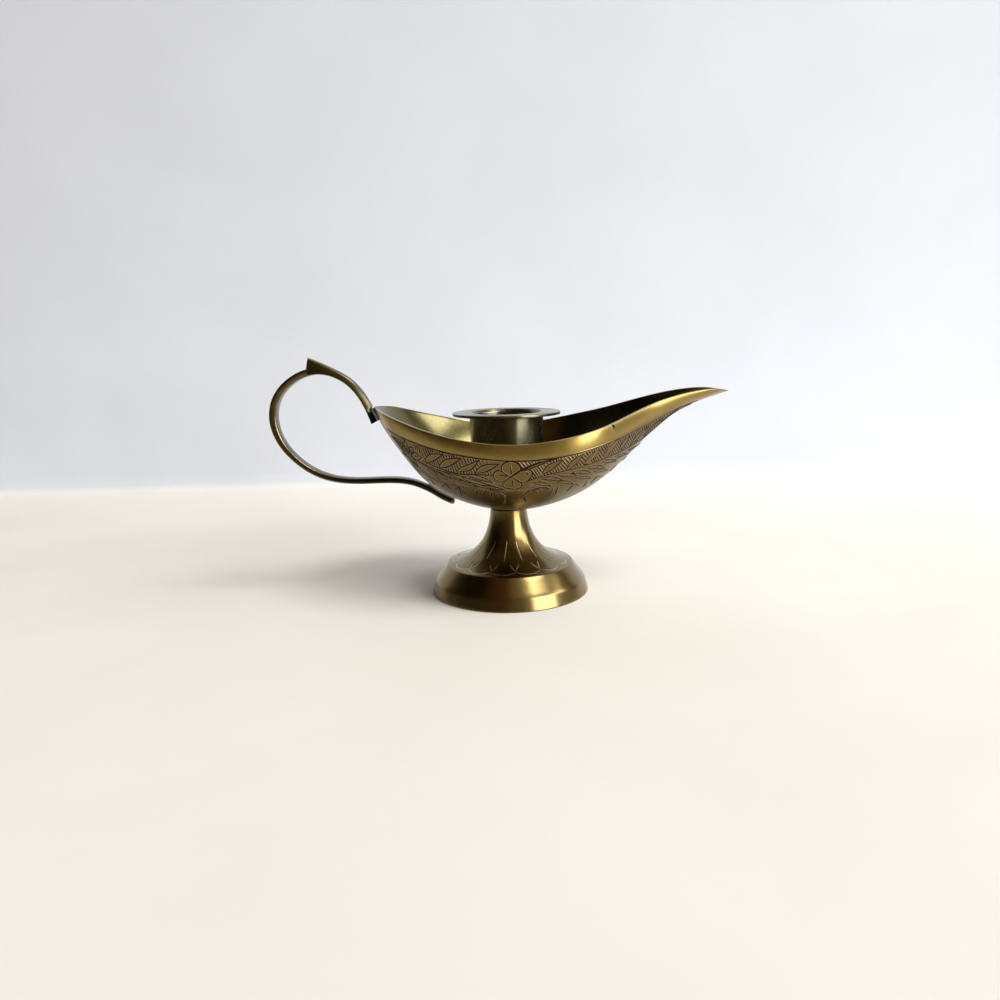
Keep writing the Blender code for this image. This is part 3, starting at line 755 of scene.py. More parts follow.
def engrave_side(hand):
    """All the cuts of one side of the bowl, in (a, b) millimetres along and below the rim."""
    cuts = Engraving((-60.0, 0.0), (82.0, 40.0))
    border = wavy([
        (-45.0, 5.4), (-39.0, 5.7), (-33.0, 5.4), (-22.0, 5.2), (-10.0, 5.0), (0.0, 5.2),
        (12.0, 5.4), (25.0, 5.7), (35.0, 5.7), (45.0, 6.1), (57.0, 6.2), (65.0, 6.1), (73.0, 5.8),
    ], hand, 0.08)
    stem_left = wavy([
        (-28.0, 11.0), (-21.9, 11.7), (-16.1, 12.1), (-10.7, 11.1), (-4.6, 10.7),
    ], hand)
    stem_right = wavy([
        (5.0, 12.8), (11.9, 11.1), (18.8, 11.0), (24.6, 11.0), (31.0, 11.2), (39.0, 11.9),
        (47.0, 12.4), (54.0, 12.6), (61.0, 11.6), (67.0, 10.2), (72.0, 8.4),
    ], hand)
    cuts.stroke(border, *LEAF_LINE)
    cuts.stroke(stem_left, *STEM_LINE)
    cuts.stroke(stem_right, *STEM_LINE)

    plain = []
    for base, tip, belly, bow in [
        ((-27.2, 11.2), (-19.9, 6.3), 1.15, 0.5), ((-21.7, 11.4), (-14.2, 5.9), 1.15, 0.4),
        ((-15.5, 10.9), (-8.3, 5.8), 0.9, -0.5), ((-9.6, 10.3), (-2.6, 6.5), 1.1, 0.4),
        ((3.8, 8.9), (14.8, 5.7), 0.35, 0.5), ((10.0, 10.5), (16.6, 6.5), 1.0, 0.5),
        ((17.6, 10.9), (23.0, 6.2), 1.0, 0.3), ((23.2, 10.6), (28.6, 6.4), 0.95, 0.3),
        ((30.4, 10.4), (37.4, 6.0), 1.0, 0.4), ((37.6, 11.0), (42.6, 6.8), 1.0, 0.3),
        ((43.5, 11.6), (51.5, 7.6), 0.9, 0.4), ((50.5, 11.8), (59.0, 7.6), 0.8, 0.4),
        ((58.0, 11.2), (66.0, 7.2), 0.6, 0.3),
    ]:
        base = (base[0] + hand.uniform(-0.2, 0.2), base[1])
        tip = (tip[0] + hand.uniform(-0.3, 0.3), tip[1] + hand.uniform(-0.15, 0.15))
        cut_leaves(cuts, LEAF_LINE, [(base, tip, belly, bow)])
        wide = leaf_edges(base, tip, belly + 0.25, bow)
        plain.append(np.concatenate([wide[0], wide[1][::-1]]))
    turn = np.linspace(0.0, math.tau, 25)[:-1]
    hub = np.array([0.7, 10.9])
    petals = [
        [(0, 0), (-2.4, -2.0), (-2.5, -3.8), (-1.4, -5.1), (0.6, -5.6), (2.5, -4.5), (3.0, -3.0), (0, 0)],
        [(3.9, -2.9), (5.7, -2.5), (6.4, -1.2), (5.7, 0.7), (4.4, 2.2), (2.8, 2.2), (0.6, 0.2)],
        [(-2.0, 1.9), (-2.6, 3.4), (-2.1, 4.5), (-0.6, 5.0), (2.2, 5.0), (3.2, 3.8), (2.5, 1.9), (0, 0)],
        [(-0.4, -0.2), (-2.5, -1.9), (-3.6, -2.3), (-5.0, -1.0), (-5.1, 0.6), (-4.0, 1.8), (-2.0, 1.9)],
    ]
    for loop in petals:
        plain.append(hub + np.array(loop))
    plain.append(np.stack([-31.0 + 3.2 * np.cos(turn), 10.2 + 2.4 * np.sin(turn)], axis=1))
    hatch(cuts, border, np.concatenate([[(-30.5, 9.0)], stem_left]), plain, -0.25, hand)
    hatch(cuts, border, np.concatenate([[(3.2, 8.6)], stem_right]), plain, -0.50, hand)

    for loop in petals:
        cuts.stroke(hub + smooth_curve(loop, np.linspace(0.0, 1.0, 41)), *ROUND_PETAL_LINE)
    for dash, width in (
        ([(0.1, -4.1), (0.2, -1.3)], 0.62), ([(4.7, -1.6), (5.1, -0.7)], 0.85),
        ([(0.4, 1.5), (0.5, 4.0)], 0.55), ([(-3.3, -0.7), (-1.1, -0.3)], 0.6),
    ):
        cuts.stroke(hub + np.array(dash), width, 0.24, 0.6)
    cuts.stroke(hub + smooth_curve(
        [(-2.0, 1.9), (0.0, 0.0), (3.9, -2.9), (9.0, -4.9)], np.linspace(0.0, 1.0, 25),
    ), 0.48, 0.19, 0.5)
    hub = np.array([-33.9, 11.2])
    for direction, length, belly, vein_from, vein_to, vein_width in (
        (12, 5.6, 1.5, 0.45, 0.72, 0.95), (62, 4.6, 1.1, 0.35, 0.62, 0.6),
        (105, 5.6, 1.0, 0.35, 0.62, 0.6), (150, 6.4, 1.2, 0.35, 0.62, 0.6),
        (205, 5.6, 1.1, 0.35, 0.62, 0.6), (300, 5.4, 1.0, 0.35, 0.62, 0.6),
    ):
        ahead = np.array([math.cos(math.radians(direction)), -math.sin(math.radians(direction))])
        tip = hub + ahead * length
        cut_leaves(cuts, POINTED_PETAL_LINE, [(hub + ahead * 0.5, tip, belly)])
        vein = [hub + ahead * length * vein_from, hub + ahead * length * vein_to]
        cuts.stroke(vein, vein_width, 0.22, 0.4)

    lower = wavy([
        (-31.0, 12.6), (-26.9, 13.0), (-22.1, 14.2), (-14.4, 14.9), (-8.5, 16.3), (-2.3, 17.4),
    ], hand)
    fan = wavy([(-30.5, 12.0), (-24.0, 12.6), (-14.2, 13.0), (-7.3, 14.2), (-2.7, 15.9)], hand)
    cuts.stroke(lower, 0.42, 0.17, 0.6)
    cuts.stroke(fan, 0.40, 0.15, 0.6)
    for line, spacing, length, lean in (
        ([(-28.0, 12.5), (-19.0, 13.6), (-10.0, 14.9), (-3.5, 16.5)], 0.75, 0.9, 0.6),
        ([(-20.0, 12.3), (-12.0, 12.0), (-5.0, 12.4)], 0.8, 0.9, 0.6),
        ([(-11.5, 12.9), (-6.5, 13.5), (-3.5, 14.6)], 0.8, 1.0, -0.5),
    ):
        beads(cuts, wavy(line, hand), spacing, length, lean, hand)
    cut_leaves(cuts, FAINT_LEAF_LINE, [
        ((-12.5, 11.6), (-4.8, 13.4), 0.8, 0.2), ((-26.5, 13.4), (-22.4, 17.6), 0.7, 0.5),
        ((-24.6, 13.8), (-19.4, 16.4), 0.6, 0.4), ((-19.8, 14.6), (-16.6, 18.4), 0.6, 0.4),
        ((-15.5, 15.0), (-9.6, 16.6), 0.5, 0.2),
    ])
    cut_leaves(cuts, LOW_LEAF_LINE, [
        ((-23.0, 12.7), (-13.8, 14.6), 0.7, -0.3), ((-14.2, 13.2), (-5.4, 15.0), 0.8, -0.3),
        ((-8.4, 15.2), (-1.4, 16.4), 0.55, -0.2), ((20.2, 15.4), (26.4, 19.0), 0.65, 0.5),
        ((27.0, 15.8), (33.4, 19.2), 0.65, 0.5),
    ])
    for line in (
        [(-33.0, 14.0), (-29.8, 16.3), (-27.0, 18.1), (-20.7, 18.4), (-14.8, 17.8), (-9.7, 17.1)],
        [(-41.5, 8.2), (-39.0, 11.2), (-35.0, 14.6), (-31.0, 19.0)],
    ):
        cuts.stroke(wavy(line, hand), *LEAF_LINE)
    hatch(cuts, [(-43.5, 6.8), (-36.5, 6.2)], [(-43.5, 8.6), (-36.5, 11.0)], plain, 0.4, hand)
    beads(cuts, wavy([(-34.0, 15.6), (-31.0, 18.2), (-27.0, 19.6)], hand), 0.9, 1.0, 0.3, hand)

    for base, tip, belly, bow in [
        ((7.2, 13.8), (13.2, 16.8), 0.65, 0.5), ((9.8, 12.3), (16.8, 15.4), 0.75, 0.5),
        ((14.8, 12.0), (21.0, 14.9), 0.75, 0.4), ((14.6, 15.0), (19.6, 18.6), 0.65, 0.5),
        ((19.2, 12.2), (26.0, 15.6), 0.8, 0.4), ((24.4, 12.2), (31.4, 16.0), 0.8, 0.4),
        ((30.0, 12.4), (37.4, 16.6), 0.75, 0.5), ((36.0, 13.1), (43.5, 17.2), 0.7, 0.5),
        ((42.5, 13.8), (50.5, 17.4), 0.6, 0.4),
    ]:
        tip = (tip[0] + hand.uniform(-0.4, 0.4), tip[1] + hand.uniform(-0.4, 0.4))
        cut_leaves(cuts, LOW_LEAF_LINE, [(base, tip, belly, bow)])
    beads(cuts, [(9.4, 13.0), (14.6, 13.4)], 0.75, 0.9, -0.6, hand)
    beads(cuts, [(15.6, 12.9), (20.0, 13.6)], 0.75, 0.9, -0.6, hand)
    beads(cuts, [(21.0, 13.2), (28.0, 14.0), (36.0, 14.8), (46.0, 15.4)], 0.8, 1.0, -0.6, hand)
    beads(cuts, wavy([
        (-9.0, 17.6), (-2.1, 17.3), (4.2, 17.6), (8.1, 17.4), (11.5, 17.2),
    ], hand), 0.7, 0.9, -0.5, hand)
    beads(cuts, [(5.6, 15.2), (9.0, 16.4)], 0.7, 1.8, -0.7, hand)

    for root, ends in [
        ((-20.4, 18.6), [(-22.2, 21.8), (-19.3, 21.2)]),
        ((-15.9, 18.4), [(-17.5, 20.6), (-14.0, 21.4), (-15.5, 24.8)]),
        ((-9.6, 18.0), [(-10.6, 20.6)]), ((-7.4, 18.2), [(-7.9, 21.6)]),
        ((-5.4, 18.4), [(-5.6, 22.4)]), ((-4.2, 18.8), [(-3.7, 21.8)]),
        ((-1.7, 20.6), [(-1.9, 25.6)]), ((-2.9, 18.6), [(-1.4, 20.2)]),
        ((6.4, 16.8), [(2.9, 21.4)]), ((4.7, 20.9), [(4.9, 24.6)]), ((7.4, 17.6), [(8.6, 19.6)]),
        ((10.0, 16.4), [(6.9, 17.3), (12.4, 17.8)]), ((13.4, 18.2), [(12.2, 22.6)]),
        ((15.0, 18.0), [(14.6, 22.8)]), ((20.4, 19.0), [(18.2, 22.4), (22.2, 21.0)]),
        ((25.0, 20.2), [(23.8, 23.8)]),
        ((29.0, 19.8), [(26.6, 23.4), (31.4, 22.0)]), ((37.6, 20.0), [(35.6, 23.4)]),
        ((43.0, 18.8), [(41.6, 22.2)]), ((-26.6, 20.4), [(-28.4, 22.6), (-25.4, 23.2)]),
    ]:
        for end in ends:
            middle = (
                (root[0] + end[0]) / 2 + hand.uniform(-0.25, 0.25), (root[1] + end[1]) / 2,
            )
            cuts.stroke(wavy([root, middle, end], hand, 0.1), *LOOSE_LINE)
    return cuts


fine_shares = np.linspace(0.0, 1.0, 2401)
fine_keel = smooth_curve(keel_controls, fine_shares)
fine_rim = smooth_curve(rim_controls, fine_shares)
chest = np.stack([
    rib_points(k, r, np.array([2 / 3]), PATTERN_LEAN)[0] for k, r in zip(fine_keel, fine_rim)
])
along = run_of(chest) / MM
along -= along[int(np.argmin(np.abs(chest[:, 0])))]
stations = np.concatenate([
    np.linspace(along[0], ENGRAVED_FROM, 14, endpoint=False),
    np.arange(ENGRAVED_FROM, ENGRAVED_TO, 0.2),
    np.linspace(ENGRAVED_TO, along[-1], 22),
])
shares = np.interp(stations, along, fine_shares)
outer_keel = smooth_curve(keel_controls, shares)
outer_rim = smooth_curve(rim_controls, shares)
inner_keel, inner_rim = inner_guides(shares)

DENSE_FROM, DENSE_TO = 4.4, 27.5
rows_above = np.array([0.0, 0.18, 0.4, 1.0, 1.8, 2.7, 3.6])
rows_dense = np.arange(DENSE_FROM, DENSE_TO, 0.18)
rows_below = np.linspace(0.0, 1.0, 16)[1:]
turns = np.linspace(0.0, 1.0, 201)
outer_side = np.empty((len(stations), len(rows_above) + len(rows_dense) + len(rows_below), 3))
rim_distance = np.empty(outer_side.shape[:2])
for i, (keel_point, rim_point) in enumerate(zip(outer_keel, outer_rim)):
    lengths = rib_lengths(keel_point, rim_point, turns)
    whole = lengths[0]
    top_share = min(1.0, whole / 9.0)
    dense_end = min(DENSE_TO, 0.96 * whole)
    dense = DENSE_FROM * top_share + (rows_dense - DENSE_FROM) * (
        (dense_end - DENSE_FROM * top_share) / (DENSE_TO - DENSE_FROM)
    )
    b = np.concatenate([rows_above * top_share, dense, dense_end + (whole - dense_end) * rows_below])
    pattern_turn = np.interp(b, lengths[::-1], turns[::-1]) * (math.pi / 2 - PATTERN_LEAN)
    rise = (1 - np.cos(pattern_turn)) / (1 - math.sin(PATTERN_LEAN))
    turn = np.arccos(1 - rise * (1 - math.sin(OUTER_LEAN))) / (math.pi / 2 - OUTER_LEAN)
    outer_side[i] = rib_points(keel_point, rim_point, turn, OUTER_LEAN)
    rim_distance[i] = b


def engraved_skin(side, cuts):
    """Outer skin of one side with its cuts pressed in; side is -1 for the front, 1 for the back."""
    points = outer_side * (1.0, side, 1.0)
    lengthwise = np.gradient(points, axis=0)
    across = np.gradient(points, axis=1)
    normal = np.cross(lengthwise, across) * side
    size = np.linalg.norm(normal, axis=2, keepdims=True)
    normal = np.divide(normal, size, out=np.zeros_like(normal), where=size > 1e-12)
    depth = cuts.at(stations[:, None], rim_distance)
    ends = np.clip((stations - ENGRAVED_FROM) / 2.0, 0, 1)
    ends *= np.clip((ENGRAVED_TO + 4 - stations) / 3.0, 0, 1)
    shown = ends[:, None] * np.clip(rim_distance[:, -1:] - rim_distance, 0, 1)
    depth = depth * shown
    cut_glint = cuts.at(stations[:, None], rim_distance, cuts.cut_glint) * shown
    return points + normal * depth[..., None] * CUT_DEEPER * MM, depth, cut_glint


front_cuts = engrave_side(random.Random(11))
front_cuts.stroke([(33.9, 0.2), (34.7, 1.1)], 1.0, 0.2, 0.8)
front_skin, front_depth, front_glint = engraved_skin(-1, front_cuts)
back_skin, back_depth, back_glint = engraved_skin(1, engrave_side(random.Random(23)))
land = np.array([0.14, 0.3, 0.5, 0.7, 0.86])[None, :, None]
inner_turns = np.concatenate([[1.0, 0.985, 0.965], np.linspace(0.93, 0.0, 26)])
inner_side = np.stack([
    rib_points(k, r, inner_turns, INNER_LEAN) for k, r in zip(inner_keel, inner_rim)
])
rim_pair = outer_side[:, :1] * (1 - land) + inner_side[:, :1] * land
for skin in (front_skin, back_skin, inner_side):
    skin[:, 0, 2] -= RIM_EASE
front = (1.0, -1.0, 1.0)
rings = [
    front_skin, back_skin[:, -2::-1], rim_pair, inner_side,
    (inner_side * front)[:, -2::-1], (rim_pair * front)[:, ::-1],
]
bowl_net = np.concatenate(rings, axis=1) + (AXIS_X, 0.0, 0.0)
bowl_net = np.clip(bowl_net, np.array(bowl_low), np.array(bowl_high))
skin_rows = front_skin.shape[1] * 2 - 1
# Painted highlight: the cuts' edges are painted this paler colour for the glint on their lit flanks.
CUT_GLINT_COLOUR = (0.30, 0.215, 0.105)
CUT_GRIME = (0.022, 0.012, 0.007)
TIN = (0.20, 0.20, 0.20)
bowl_brass = brass(
    "bowl brass", (0.335, 0.242, 0.072), (0.29, 0.205, 0.056), 0.34, marks=[
        ("aged_and_shaded", 0.0, 1.0, (0.150, 0.100, 0.026), 0.38, 1.0),
        ("cut_glint", 0.1, 0.7, CUT_GLINT_COLOUR, 0.42, 1.0), ("cut", 0.05, 0.35, CUT_GRIME, 0.55, 1.0),
        ("tarnish", 0.0, 1.0, (0.09, 0.045, 0.02), 0.5, 0.8),
        # The rim's lighter brass is partly rubbed wear and partly a painted highlight along the rim's
        # edges.
        ("wear_and_glint", 0.0, 1.0, (0.50, 0.42, 0.24), 0.3, 1.0), ("tin", 0.35, 0.65, TIN, 0.5, 0.8),
    ],
)
# Painted shade: the bowl's inside is the same brass as its outside, painted darker for the shade in its
# hollow.
shaded_inside_brass = brass(
    "bowl brass inside painted darker", (0.16, 0.138, 0.062), (0.13, 0.11, 0.046), 0.22,
    marks=[("tin", 0.35, 0.65, TIN, 0.5, 0.8)],
)
bowl_mesh = grid_mesh("bowl_engraved", bowl_net, bowl_brass, shaded_inside_brass)


def on_skins(front, back):
    """Values for the whole net from those of the two engraved skins, and 0 on the rest."""
    values = np.zeros(bowl_net.shape[:2])
    values[:, :front.shape[1]] = front
    values[:, front.shape[1]:skin_rows] = back[:, -2::-1]
    return values


keep_mark(bowl_mesh, "cut", on_skins(front_depth, back_depth) / BOWL_CUT)
# Painted highlight along the edges of the cuts.
keep_mark(bowl_mesh, "cut_glint", on_skins(front_glint, back_glint))
# Below the plain band the bowl's brass turns a darker, aged tone.
keep_mark(bowl_mesh, "aged_and_shaded", (on_skins(rim_distance, rim_distance) - 4.6) / 1.4)
# Rim rows: partly rubbed wear, partly a painted highlight along the rim.
rim_wear_and_glint = np.zeros(bowl_net.shape[:2])
rim_wear_and_glint[:, [0, skin_rows - 1, *range(skin_rows, skin_rows + 6), *range(-6, 0)]] = 1.0
keep_mark(bowl_mesh, "wear_and_glint", rim_wear_and_glint)
from_tip = np.hypot(bowl_net[..., 0] - bowl_low.x, 0.5 * bowl_net[..., 1]) / MM
ripple = (
    np.sin(bowl_net[..., 2] * 730 + 0.4) + np.sin(bowl_net[..., 1] * 910 + 1.0)
    + 0.4 * np.sin(bowl_net[..., 1] * 2300 + bowl_net[..., 2] * 1900)
)
keep_mark(bowl_mesh, "tin", 1.15 - (from_tip + 0.35 * ripple) / 6.5)
keep_mark(bowl_mesh, "tarnish", np.minimum(1.2 - np.abs(from_tip - 6.2 + 0.25 * ripple) / 1.1, 0.85))
row_of_face = np.tile(np.arange(bowl_net.shape[1]), len(stations) - 1)
first_inner, last_inner = skin_rows + 5, bowl_net.shape[1] - 6
slots = ((row_of_face >= first_inner) & (row_of_face < last_inner)).astype(np.int32)
bowl_mesh.polygons.foreach_set("material_index", slots)
shape = bmesh.new()
shape.from_mesh(bowl_mesh)
bmesh.ops.remove_doubles(shape, verts=shape.verts, dist=MERGE)
bmesh.ops.dissolve_degenerate(shape, edges=shape.edges, dist=MERGE / 10)
drilled = [
    face for face in shape.faces
    if all(math.hypot(v.co.x - AXIS_X, v.co.y) < HOLE_RADIUS for v in face.verts)
]
bmesh.ops.delete(shape, geom=drilled, context="FACES")
drill_edges = [edge for edge in shape.edges if edge.is_boundary]
for vert in {v for edge in drill_edges for v in edge.verts}:
    outward = Vector((vert.co.x - AXIS_X, vert.co.y)).normalized() * HOLE_RADIUS
    vert.co.x, vert.co.y = outward.x + AXIS_X, outward.y
bmesh.ops.bridge_loops(shape, edges=drill_edges)
bmesh.ops.recalc_face_normals(shape, faces=shape.faces)
shape.to_mesh(bowl_mesh)
shape.free()
bowl = link_piece("bowl_engraved", bowl_mesh)
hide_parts("bowl")


# The candle cup: turned brass socket with a straight wall, a rounded underside on a small foot and
# a thin drip flange round its mouth, standing on the bowl's floor.
cup_low, cup_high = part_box("candle_cup")
FLANGE_RADIUS = (cup_high.x - cup_low.x) / 2
FLANGE_THICKNESS = 0.9 * MM
CANDLE_BORE = 22.5 * MM
CUP_WALL = 1.1 * MM
CUP_FLOOR = 1.6 * MM
CUP_FOOT_RADIUS = 5.0 * MM
CUP_ROUNDING = 5.6 * MM
MOUTH_CHAMFER = 0.8 * MM
CUP_LIFT = 1.65 * MM
CUP_TURNS = 168
cup_radius = CANDLE_BORE / 2 + CUP_WALL
cup_base, cup_top = cup_low.z, cup_high.z
cup_floor = cup_base + CUP_LIFT + CUP_FLOOR


def quarter(centre, radii, start, end):
    """Points of an elliptical arc between two angles in degrees."""
    turn = np.radians(np.linspace(start, end, 13))
    return [(centre[0] + radii[0] * math.cos(a), centre[1] + radii[1] * math.sin(a)) for a in turn]


def turned_piece(name, profile, round_edges, spacing, turns, material):
    """Piece turned about the lamp's axis from a closed (r, z) profile."""
    line = spread(eased(list(profile) + [profile[0]], round_edges), spacing)
    turn = np.linspace(0.0, math.tau, turns, endpoint=False)
    mesh = grid_mesh(name, about_axis(line[:, :1], line[:, 1:], turn), material)
    close_mesh(mesh, weld=MERGE / 4, sharp=40)
    return link_piece(name, mesh)


cup_brass = brass(
    "turned cup brass", (0.18, 0.168, 0.115), (0.145, 0.132, 0.085), 0.28, lathe=5.0, speckle=0.15,
    grain=0.8,
)
bore = CANDLE_BORE / 2
lift = cup_base + CUP_LIFT
under = cup_top - FLANGE_THICKNESS
cup_profile = [
    (bore + MOUTH_CHAMFER, cup_top), (FLANGE_RADIUS, cup_top), (FLANGE_RADIUS, under),
    (cup_radius, under),
]
cup_profile += quarter(
    (CUP_FOOT_RADIUS, lift + CUP_ROUNDING), (cup_radius - CUP_FOOT_RADIUS, CUP_ROUNDING), 0, -90,
)
cup_profile += [(CUP_FOOT_RADIUS, cup_base), (HOLE_RADIUS, cup_base), (HOLE_RADIUS, cup_floor)]
cup_profile += quarter(
    (CUP_FOOT_RADIUS, cup_floor + CUP_ROUNDING - CUP_WALL),
    (bore - CUP_FOOT_RADIUS, CUP_ROUNDING - CUP_WALL), -90, 0,
)
cup_profile += [(bore, cup_top - MOUTH_CHAMFER)]
cup = turned_piece(
    "candle_cup_turned", cup_profile, 0.25 * MM, 1.2 * MM, CUP_TURNS, cup_brass,
)
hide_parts("candle_cup")


# The handle: one cast brass strap, looped, with a thumb spur raised at the top.  Its upper end, coloured
# near black where it lies against the bowl, is soldered under the tail's tip and its lower end along the
# keel.
HANDLE_WIDTH = 2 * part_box("handle")[1].y
GAP = 0.3 * MM
STANDOFF = 1.0 * MM
LOOP_LENGTH = 32.4 * MM
LOOP_HEIGHT = 35.1 * MM
LOOP_RISE = 11.1 * MM
LOOP_THICKNESS = 2.3 * MM
LOWER_THICKNESS = 1.8 * MM
ROOT_THICKNESS = 2.5 * MM
UPPER_THICKNESS = 2.3 * MM
SPUR_HEIGHT = 6.0 * MM
SPUR_ALONG = 28.3 * MM
SPUR_LEAN = 1.2 * MM
SPUR_RUN = 11.0 * MM
SPUR_HOLLOWNESS = 2.5
THINNING_START = 48.5 * MM
THINNING_END = 62.5 * MM
UPPER_CONTACT = 4.7 * MM
LOWER_CONTACT = 9.5 * MM
LOWER_END_INSET = 25.9 * MM
HANDLE_EDGE = 0.35 * MM
STRAP_DRAFT = 0.18
STRAP_CREST = 0.95 * MM
LOOP_SHAPE = [
    (0.105, 0.705), (0.27, 0.905), (0.53, 1.0), (0.80, 0.925), (0.975, 0.74),
    (0.995, 0.50), (0.81, 0.21), (0.52, 0.045), (0.21, 0.0), (-0.11, 0.0), (-0.375, -0.03),
]
tail_line = smooth_curve(keel_controls, np.linspace(0.0, 0.5, 801))
tail_length = run_of(tail_line)


def keel_side(distance, places):
    """Points set out from the tail half of the keel, at arc lengths down from its tip."""
    moved = offset_path(tail_line, -distance)
    return np.stack([
        np.interp(places, tail_length, moved[:, 0]), np.interp(places, tail_length, moved[:, 1]),
    ], axis=1)


lower_end = float(np.interp(LOWER_END_INSET - TAIL_REACH, tail_line[:, 0], tail_length))
tail_z = RIM_Z + TAIL_RISE
root = keel_side(STANDOFF + ROOT_THICKNESS - HANDLE_EDGE, [UPPER_CONTACT])
loop = np.array([
    (-TAIL_REACH - x * LOOP_LENGTH, tail_z + LOOP_RISE - LOOP_HEIGHT + z * LOOP_HEIGHT)
    for x, z in LOOP_SHAPE
])
landing = keel_side(STANDOFF, np.linspace(lower_end - LOWER_CONTACT, lower_end, 4))
controls = np.concatenate([root, loop, landing[1:]])
strap_run = np.linalg.norm(np.diff(controls, axis=0), axis=1).sum()
spur = SPUR_ALONG / strap_run
strap_shares = np.concatenate([np.linspace(0.0, spur, 74), np.linspace(spur + 0.0012, 1.0, 150)])
inside_line = smooth_curve(controls, strap_shares)
on_upper = strap_shares <= spur
strap_along = strap_shares * strap_run
swell = np.clip((strap_along - SPUR_ALONG + SPUR_RUN) / SPUR_RUN, 0.0, 1.0) ** SPUR_HOLLOWNESS
thickness = np.where(
    on_upper,
    np.interp(strap_along, (0.0, SPUR_ALONG / 3), (ROOT_THICKNESS, UPPER_THICKNESS))
    + swell * (SPUR_HEIGHT - UPPER_THICKNESS),
    np.interp(strap_along, (THINNING_START, THINNING_END), (LOOP_THICKNESS, LOWER_THICKNESS)),
)
outside_line = offset_path(inside_line, -thickness)
outside_line[on_upper, 0] += SPUR_LEAN * swell[on_upper]
touching = int(np.argmax(outside_line[:, 1] > tail_z + GAP))
outside_line[:touching] = keel_side(STANDOFF, np.linspace(UPPER_CONTACT, 0.0, touching + 1)[:-1])
middle = (inside_line[-1] + outside_line[-1]) / 2
across = inside_line[-1] - middle
forward = np.array([across[1], -across[0]])
for a in np.radians((25, 48, 68, 84)):
    inside_line = np.vstack([inside_line, middle + across * math.cos(a) + forward * math.sin(a)])
    outside_line = np.vstack([outside_line, middle - across * math.cos(a) + forward * math.sin(a)])


def strap_ring(inner, outer, half_width, crest):
    """Section of the strap: softened corners, its sides drawn in to the inside or to the crest."""
    thick = np.linalg.norm(outer - inner)
    up = (outer - inner) / max(thick, 1e-9)
    ring = []
    for cross_side, top, corner in ((-1, 0, 0.40), (-1, 1, 0.62), (1, 1, 0.62), (1, 0, 0.40)):
        size = min(corner * MM, 0.42 * thick)
        turns = np.radians(np.linspace(0, 90, 5))
        if (cross_side > 0) == bool(top):
            turns = turns[::-1]
        for a in turns:
            reach = size * (1 - math.sin(a))
            drawn_in = crest * (thick - reach if top else reach) / max(thick, 1e-9)
            if not top and crest == 0.0:
                drawn_in = STRAP_DRAFT * (thick - reach)
            y = cross_side * (half_width - drawn_in - size * (1 - math.cos(a)))
            ring.append((y, thick - reach if top else reach))
        if top and cross_side < 0:
            ring += [(y, thick) for y in np.linspace(-0.5, 0.5, 3) * (half_width - crest - size)]
    return [(inner[0] + up[0] * q, y, inner[1] + up[1] * q) for y, q in ring]


crests = np.zeros(len(inside_line))
crests[:len(strap_along)][on_upper] = STRAP_CREST * np.interp(
    strap_along[on_upper], (0.0, 6.0 * MM), (0.35, 1.0),
)
strap_net = np.array([
    strap_ring(i, o, HANDLE_WIDTH / 2, c) for i, o, c in zip(inside_line, outside_line, crests)
]) + (AXIS_X, 0.0, 0.0)
strap_net = np.clip(strap_net, *(np.array(corner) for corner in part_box("handle")))
handle_brass = brass(
    "handle brass", (0.15, 0.128, 0.058), (0.105, 0.086, 0.034), 0.25, marks=[
        # Painted shade: the strap darkens towards both ends, where it runs in under the bowl.
        ("aged_and_shaded", 0.0, 1.0, (0.048, 0.042, 0.022), 0.25, 1.0),
        ("wear_and_glint", 0.0, 1.0, (0.42, 0.38, 0.26), 0.32, 1.0),
        ("black_end", 0.3, 0.7, (0.008, 0.010, 0.012), 0.5, 1.0),
    ], cloud_scale=160.0, coat=0.05,
)
strap_mesh = grid_mesh("handle_strap", strap_net, handle_brass)
columns = strap_net.shape[1]
# The strap's edges turn lighter: partly rubbed wear, partly a painted highlight along the edges, most on
# the inside edges.
edge_wear_and_glint = np.zeros(strap_net.shape[:2])
edge_wear_and_glint[:, [2, columns - 3]] = 0.55
edge_wear_and_glint[:, [7, 15]] = 0.25
edge_wear_and_glint[crests > 0.0, 7] = 0.45
edge_wear_and_glint[-5:] = 0.5
keep_mark(strap_mesh, "wear_and_glint", edge_wear_and_glint)
# The strap's end where it lies against the bowl is coloured near black.
black_end = np.zeros(strap_net.shape[:2])
black_end[:touching] = np.linspace(2.2, 0.0, touching)[:, None]
keep_mark(strap_mesh, "black_end", black_end)
# Painted shade: darker towards both ends of the strap, where it runs in under the bowl.
aged_and_shaded = np.interp(np.arange(len(strap_net)), (0, 48, 70, 120, 175), (0.75, 0.55, 0.0, 0.0, 1.0))
keep_mark(strap_mesh, "aged_and_shaded", np.repeat(aged_and_shaded, columns))
close_mesh(strap_mesh, columns, sharp=45)
handle = link_piece("handle_strap", strap_mesh)
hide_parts("handle")


# The solder: soft tin run between the strap's two ends and the bowl, with a dull uneven edge.  It is
# a little wider on the bowl's side, and each bed is one piece along a stretch of the keel.
SOLDER_OVERHANG = 0.6 * MM
SOLDER_SIDE = [(0.04, 1.0), (0.30, 0.93), (0.62, 0.87), (0.96, 0.84)]
tin = brass("tin solder", TIN, (0.20, 0.20, 0.195), 0.42, speckle=0.4, cloud_scale=400.0)


